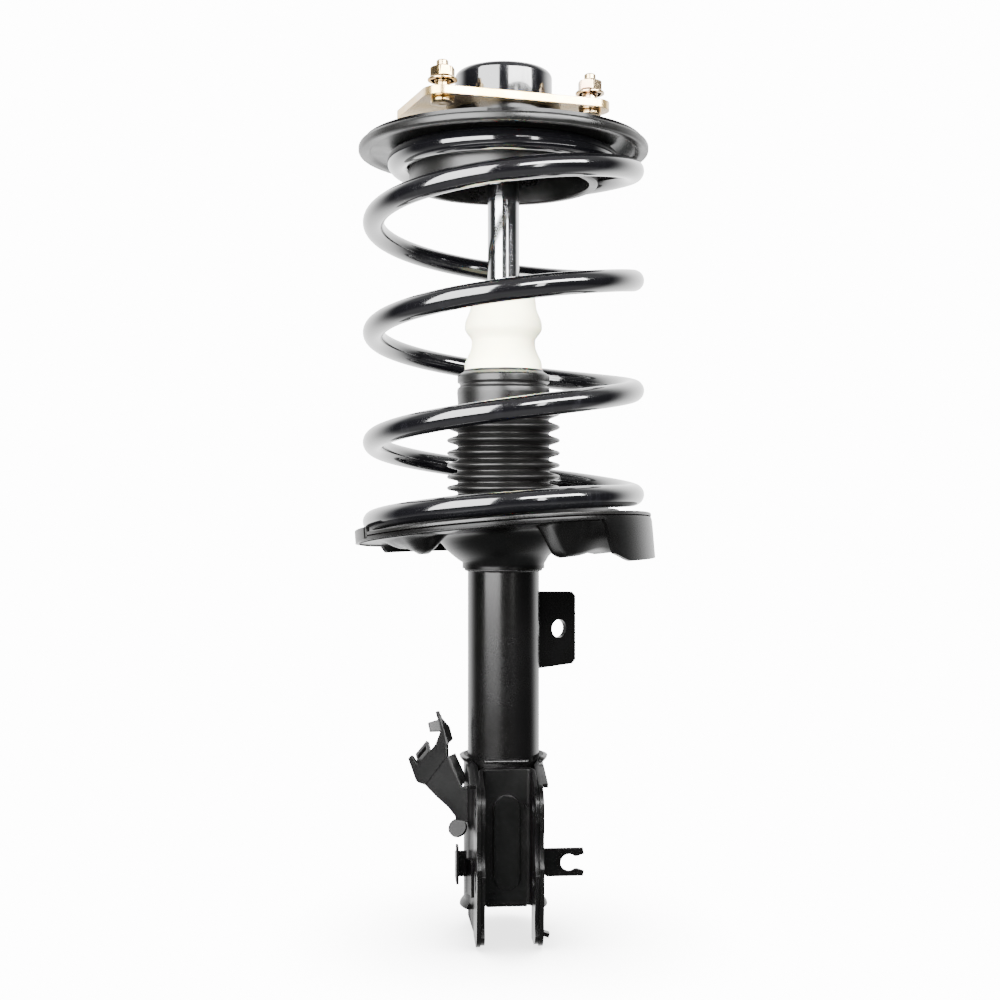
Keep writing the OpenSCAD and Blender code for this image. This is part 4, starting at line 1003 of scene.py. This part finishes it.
def hexagon(name, flats, low, high, bore, slot, flange=0.0, flange_t=0.0):
    """A hexagon nut with chamfered corners and, if asked, a round flange under it."""
    r, sides, chamfer, flange_top = flats / 2 / cos(pi / 6), 72, 0.5, low + flange_t * 1.4
    levels = [(low, 0), (high - r * 0.10, 0), (high - r * 0.03, r * 0.07), (high, r * 0.14)]
    hole = [(high, bore + chamfer), (high - chamfer, bore), (low + chamfer, bore), (low, bore + chamfer)]
    points = []
    for level, (z, cut) in enumerate(levels + hole):
        for k in range(sides):
            a = tau * k / sides
            to_flat = (a + pi / 6) % (pi / 3) - pi / 6
            reach = cut if level >= len(levels) else min(flats / 2 / cos(to_flat), r * 0.99, r * 0.985 - cut)
            points.append(polar(reach, a, z) * MM)
    faces = []
    n = len(levels + hole)
    for i in range(n):
        here, above = i * sides, (i + 1) % n * sides
        faces += [(here + k, here + (k + 1) % sides, above + (k + 1) % sides, above + k)
                  for k in range(sides)]
    nut = outwards(object_from(name, points, (), faces))
    if flange:
        disc = turned(name + "_flange", [
            (bore, low), (flange, low), (flange, low + flange_t * 0.55), (flats / 2 + 0.3, flange_top),
            (bore, flange_top)], slot, radii=[0.2, 0.3, 0.5, 0.4, 0.1], steps=sides)
        merged(nut, [disc])
    return made_real(add_tree(finished(nut, slot), clean_tree, slot, merge_distance=5e-7,
                              sharp_angle=radians(28)))


class STRUT_OT_fasteners(Operator):
    """Build the threaded studs and their flange nuts, and the nut of the rod"""
    bl_idname = "strut.fasteners"
    bl_label = "Studs And Nuts"

    def execute(self, context):
        p = context.scene.strut_fasteners
        plate, neck, lift, nut_h, af = mm(p.plate_t, p.neck_r, p.lift, p.nut_h, p.nut_af)
        head_low, top = span("mount_studs")
        shank, knurl, core, overlap, end = 5.3, 8, 4.0, 0.6, 3.6
        stud = turned("mount_studs_threaded", [
            (0, head_low), (7.4, head_low), (knurl, head_low + 1), (knurl, -plate - 0.6), (7.6, -plate),
            (shank, -plate), (shank, -0.05), (neck, -0.05), (neck, lift - 0.8), (core, lift - 0.3),
            (core, top - 3.8), (core, top - 0.8), (3.3, top), (0, top)],
            "zinc", radii=0.25, steps=48, bore=0.01)
        thread = object_from("thread", [(0, 0, 0)])
        add_tree(thread, thread_tree, "zinc", radius=4.9 * MM, depth=0.85 * MM, pitch=p.pitch,
                 low=(lift - overlap) * MM, height=(top - end - lift + overlap) * MM, steps=110, sides=36)
        merged(stud, [made_real(thread)])
        nut = hexagon("mount_nuts_flanged", af, lift, lift + nut_h, 4.95, "zinc", flange=10, flange_t=2.2)
        for piece, own_turn, node in ((stud, 0.0, "mount_studs"), (nut, 0.35, "mount_nuts")):
            add_tree(piece, ring_tree, "zinc", count=3, circle_radius=p.circle_r, first_angle=p.first,
                     own_turn=own_turn)
            ride(made_real(piece), "top_mount", "zinc", node)

        low, high = span("rod_nut")
        ride(hexagon("rod_nut_plated", 19, low, high, 7.05, "zinc"), "top_mount", "zinc", "rod_nut")
        return {"FINISHED"}


def weld(name, points, radius, seed, closed=False):
    """A painted weld bead along points in metres; its radius is in millimetres."""
    n, ripple, unevenness = len(points), 0.8, 0.16
    line = object_from(name, points, [(i, (i + 1) % n) for i in range(n if closed else n - 1)])
    add_tree(line, bead_tree, "weld_black", bead_radius=radius * MM, ripple=radius * ripple * MM,
             unevenness=unevenness, seed=seed)
    return made_real(line)


class STRUT_OT_welds(Operator):
    """Lay the weld beads that hold the seat, the clevis and the brackets to the tube"""
    bl_idname = "strut.welds"
    bl_label = "Weld Beads"

    def execute(self, context):
        p = context.scene.strut_welds
        tube = context.scene.strut_seats.tube_r / MM
        around, up, half_link, off_middle = 96, 20, 27, 2.6
        r, z = tube + TUBE_GAP, -p.seat_foot / MM
        seat = [polar(r, radians(352.5 * i / around), z) * MM for i in range(around)]
        beads = [weld("seat", seat, 1.5, 1, closed=True)]
        top, low = -p.link_depth / MM + half_link, -p.link_depth / MM - half_link
        for side, seed in ((1, 2), (-1, 3)):
            foot = Vector((tube + 0.3, side * off_middle))
            foot.rotate(Matrix.Rotation(p.link_turn, 2))
            line = [Vector((*foot, low + (top - low) * i / up)) * MM for i in range(up + 1)]
            beads.append(weld("link", line, 1.6, seed))
        spin = Matrix.Rotation(p.clevis_turn, 4, "Z")
        for half, out, depth, seed in ((14, 1.2, p.channel_top, 4), (13, 0.9, p.channel_foot, 5)):
            line = [spin @ (Vector((x, -tube - out, -depth / MM)) * MM) for x in range(-half, half + 1)]
            beads.append(weld("channel", line, 1.3, seed))
        welds = merged(beads[0], beads[1:])
        welds.name = welds.data.name = "weld_beads"
        ride(welds, "strut_body", "satin_black")
        return {"FINISHED"}


class STRUT_OT_bearing(Operator):
    """Build the balls of the swivel bearing"""
    bl_idname = "strut.bearing"
    bl_label = "Bearing Balls"

    def execute(self, context):
        low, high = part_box("bearing_balls")
        r, middle = (high.z - low.z) / 2, (high.z + low.z) / 2
        balls = object_from("bearing_balls_ground", [])
        with editing(balls) as bm:
            centre = Matrix.Translation((0, 0, middle))
            bmesh.ops.create_icosphere(bm, subdivisions=3, radius=r, matrix=centre)
        balls.data.shade_smooth()
        made_real(add_tree(balls, ring_tree, "ball_steel", count=20, circle_radius=high.x - r))
        ride(balls, "ball_cage", "ball_steel", "bearing_balls")
        return {"FINISHED"}


NODE_FINISHES = {
    "plate_zinc": "mount_plate",
    "satin_black": "upper_spring_seat strut_tube gland_cap tube_end_cap link_bracket bearing_upper_race",
    "clevis_black": "clevis_bracket clevis_reinforcement hose_bracket clip_bracket wire_bracket",
    "rod_chrome": "piston_rod",
    "bare_steel": "mount_sleeve rod_washer bearing_lower_race rebound_stop piston_nut pressure_cylinder",
    "cage_plastic": "bearing_cage",
    "band_plastic": "piston_band rod_seal",
    "sintered": "piston rod_guide base_valve",
}


class STRUT_OT_finishes(Operator):
    """Give each rigid CAD node its finish and smooth curved faces"""
    bl_idname = "strut.finishes"
    bl_label = "Finishes Of Rigid Parts"

    def execute(self, context):
        for slot, names in NODE_FINISHES.items():
            for name in names.split():
                add_tree(finished(NODES[name], slot), clean_tree, slot)
        left = [n for n, o in NODES.items() if not o.hide_render and not o.modifiers]
        if left:
            raise RuntimeError(f"nodes with no finish: {left}")
        return {"FINISHED"}


# ---- Stage ----

def softbox(name, bearing, reach, height, size, power):
    """A soft rectangle of light that faces the strut; its bearing is measured from straight in front."""
    light = bpy.data.lights.new(name, "AREA")
    light.shape = "RECTANGLE"
    light.size, light.size_y = size
    light.energy = power
    lamp = bpy.data.objects.new(name, light)
    bpy.context.scene.collection.objects.link(lamp)
    a = radians(bearing)
    lamp.location = (reach * sin(a), -reach * cos(a), height)
    lamp.rotation_euler = (radians(90), 0, a)
    lamp.visible_camera = False
    return lamp


def studio(p):
    """Bright paper for the camera; for reflections, light from behind, above and below and a dark front."""
    world = bpy.data.worlds.new("studio")
    world.use_nodes = True
    t = Shading(world.node_tree)
    t.tree.nodes.clear()
    white = (1, 1, 1, 1)
    _, y, z = t.split(t.put("TexCoord", output="Generated"))
    glow = t.step(y, 0.1, 0.75) * p.behind + t.step(t.maths("ABSOLUTE", z), 0.25, 0.65) * p.above + p.front
    soft, bright = (t.put("Background", {"Color": white, "Strength": s}) for s in (glow, p.paper))
    seen = t.put("LightPath", output="Is Camera Ray")
    t.plug(t.add("OutputWorld").inputs[0], t.put("MixShader", {0: seen, 1: soft, 2: bright}))
    return world


def paper_finish(p):
    """White paper that glows evenly, with a painted contact shadow: its glow dims where ambient occlusion
    finds the strut close by.
    """
    material, t = new_material("paper")
    t.tree.nodes.clear()
    # painted contact shadow: ambient occlusion near the strut dims the paper's glow, which shows no real
    # shadow
    painted_shadow_ao = t.put("AmbientOcclusion", {"Distance": 0.14}, output="AO", samples=16)
    fibre = group(t, mottle, scale=3.0)[0] * 0.02
    light = (t.maths("POWER", painted_shadow_ao, 3.0) * p.shade + (1 - p.shade)) * p.paper - fibre
    glow = t.put("Emission", {"Color": (1, 1, 1, 1), "Strength": light})
    t.plug(t.add("OutputMaterial").inputs[0], glow)
    return material


class STRUT_OT_stage(Operator):
    """Set the white paper, the soft lamps, the light of the room and the camera"""
    bl_idname = "strut.stage"
    bl_label = "Stage"

    def execute(self, context):
        p = context.scene.strut_stage
        foot, half = CAD_BOX[0].z, 12.0
        corners = [(x * half, y * half, foot) for x, y in ((-1, -1), (1, -1), (1, 1), (-1, 1))]
        floor = object_from("floor", corners, (), [(0, 1, 2, 3)])
        floor.data.materials.append(paper_finish(p))
        floor.visible_glossy = floor.visible_diffuse = floor.visible_shadow = False
        context.scene.world = studio(p)
        softbox("softbox_left", -35, 1.5, 0.55, (1.4, 2.0), p.left)
        softbox("softbox_right", 40, 1.5, 0.62, (1.6, 0.5), p.right)
        softbox("strip_right", 29, 1.5, 0.0, (0.16, 0.6), p.strip)
        softbox("fill", -10, 1.6, -0.1, (1.2, 1.2), p.fill).visible_glossy = False

        lens = bpy.data.cameras.new("camera")
        lens.lens, lens.sensor_width, lens.shift_y = p.lens, 36, -0.01
        camera = bpy.data.objects.new("camera", lens)
        context.scene.collection.objects.link(camera)
        camera.location = (-0.0024, -1.0, -0.267)
        camera.rotation_euler = (radians(90), 0, 0)
        context.scene.camera = camera
        return {"FINISHED"}


class STRUT_PT_sidebar(bpy.types.Panel):
    bl_label = "Strut Assembly"
    bl_idname = "STRUT_PT_sidebar"
    bl_space_type = "VIEW_3D"
    bl_region_type = "UI"
    bl_category = "Strut"

    def draw(self, context):
        for operator in OPERATORS:
            self.layout.operator(operator.bl_idname)
        for name in GROUPS_OF_SIZES:
            box = self.layout.box()
            settings = getattr(context.scene, name)
            for key in settings.__annotations__:
                box.prop(settings, key)


GROUPS_OF_SIZES = {kind.__name__.replace("STRUT_PG", "strut"): kind for kind in (
    STRUT_PG_spring, STRUT_PG_seats, STRUT_PG_boot, STRUT_PG_bump_stop, STRUT_PG_fasteners, STRUT_PG_welds,
    STRUT_PG_finishes, STRUT_PG_stage)}
OPERATORS = [STRUT_OT_spring, STRUT_OT_bump_stop, STRUT_OT_boot, STRUT_OT_rubber_seats, STRUT_OT_cup,
             STRUT_OT_lower_seat, STRUT_OT_welds, STRUT_OT_fasteners, STRUT_OT_bearing, STRUT_OT_finishes,
             STRUT_OT_stage]
CLASSES = [*GROUPS_OF_SIZES.values(), *OPERATORS, STRUT_PT_sidebar]


def register():
    for c in CLASSES:
        bpy.utils.register_class(c)
    for name, kind in GROUPS_OF_SIZES.items():
        setattr(bpy.types.Scene, name, bpy.props.PointerProperty(type=kind))


def unregister():
    for name in GROUPS_OF_SIZES:
        delattr(bpy.types.Scene, name)
    for c in reversed(CLASSES):
        bpy.utils.unregister_class(c)


def main():
    register()
    for operator in OPERATORS:
        space, call = operator.bl_idname.split(".")
        getattr(getattr(bpy.ops, space), call)()


if __name__ == "__main__":
    main()
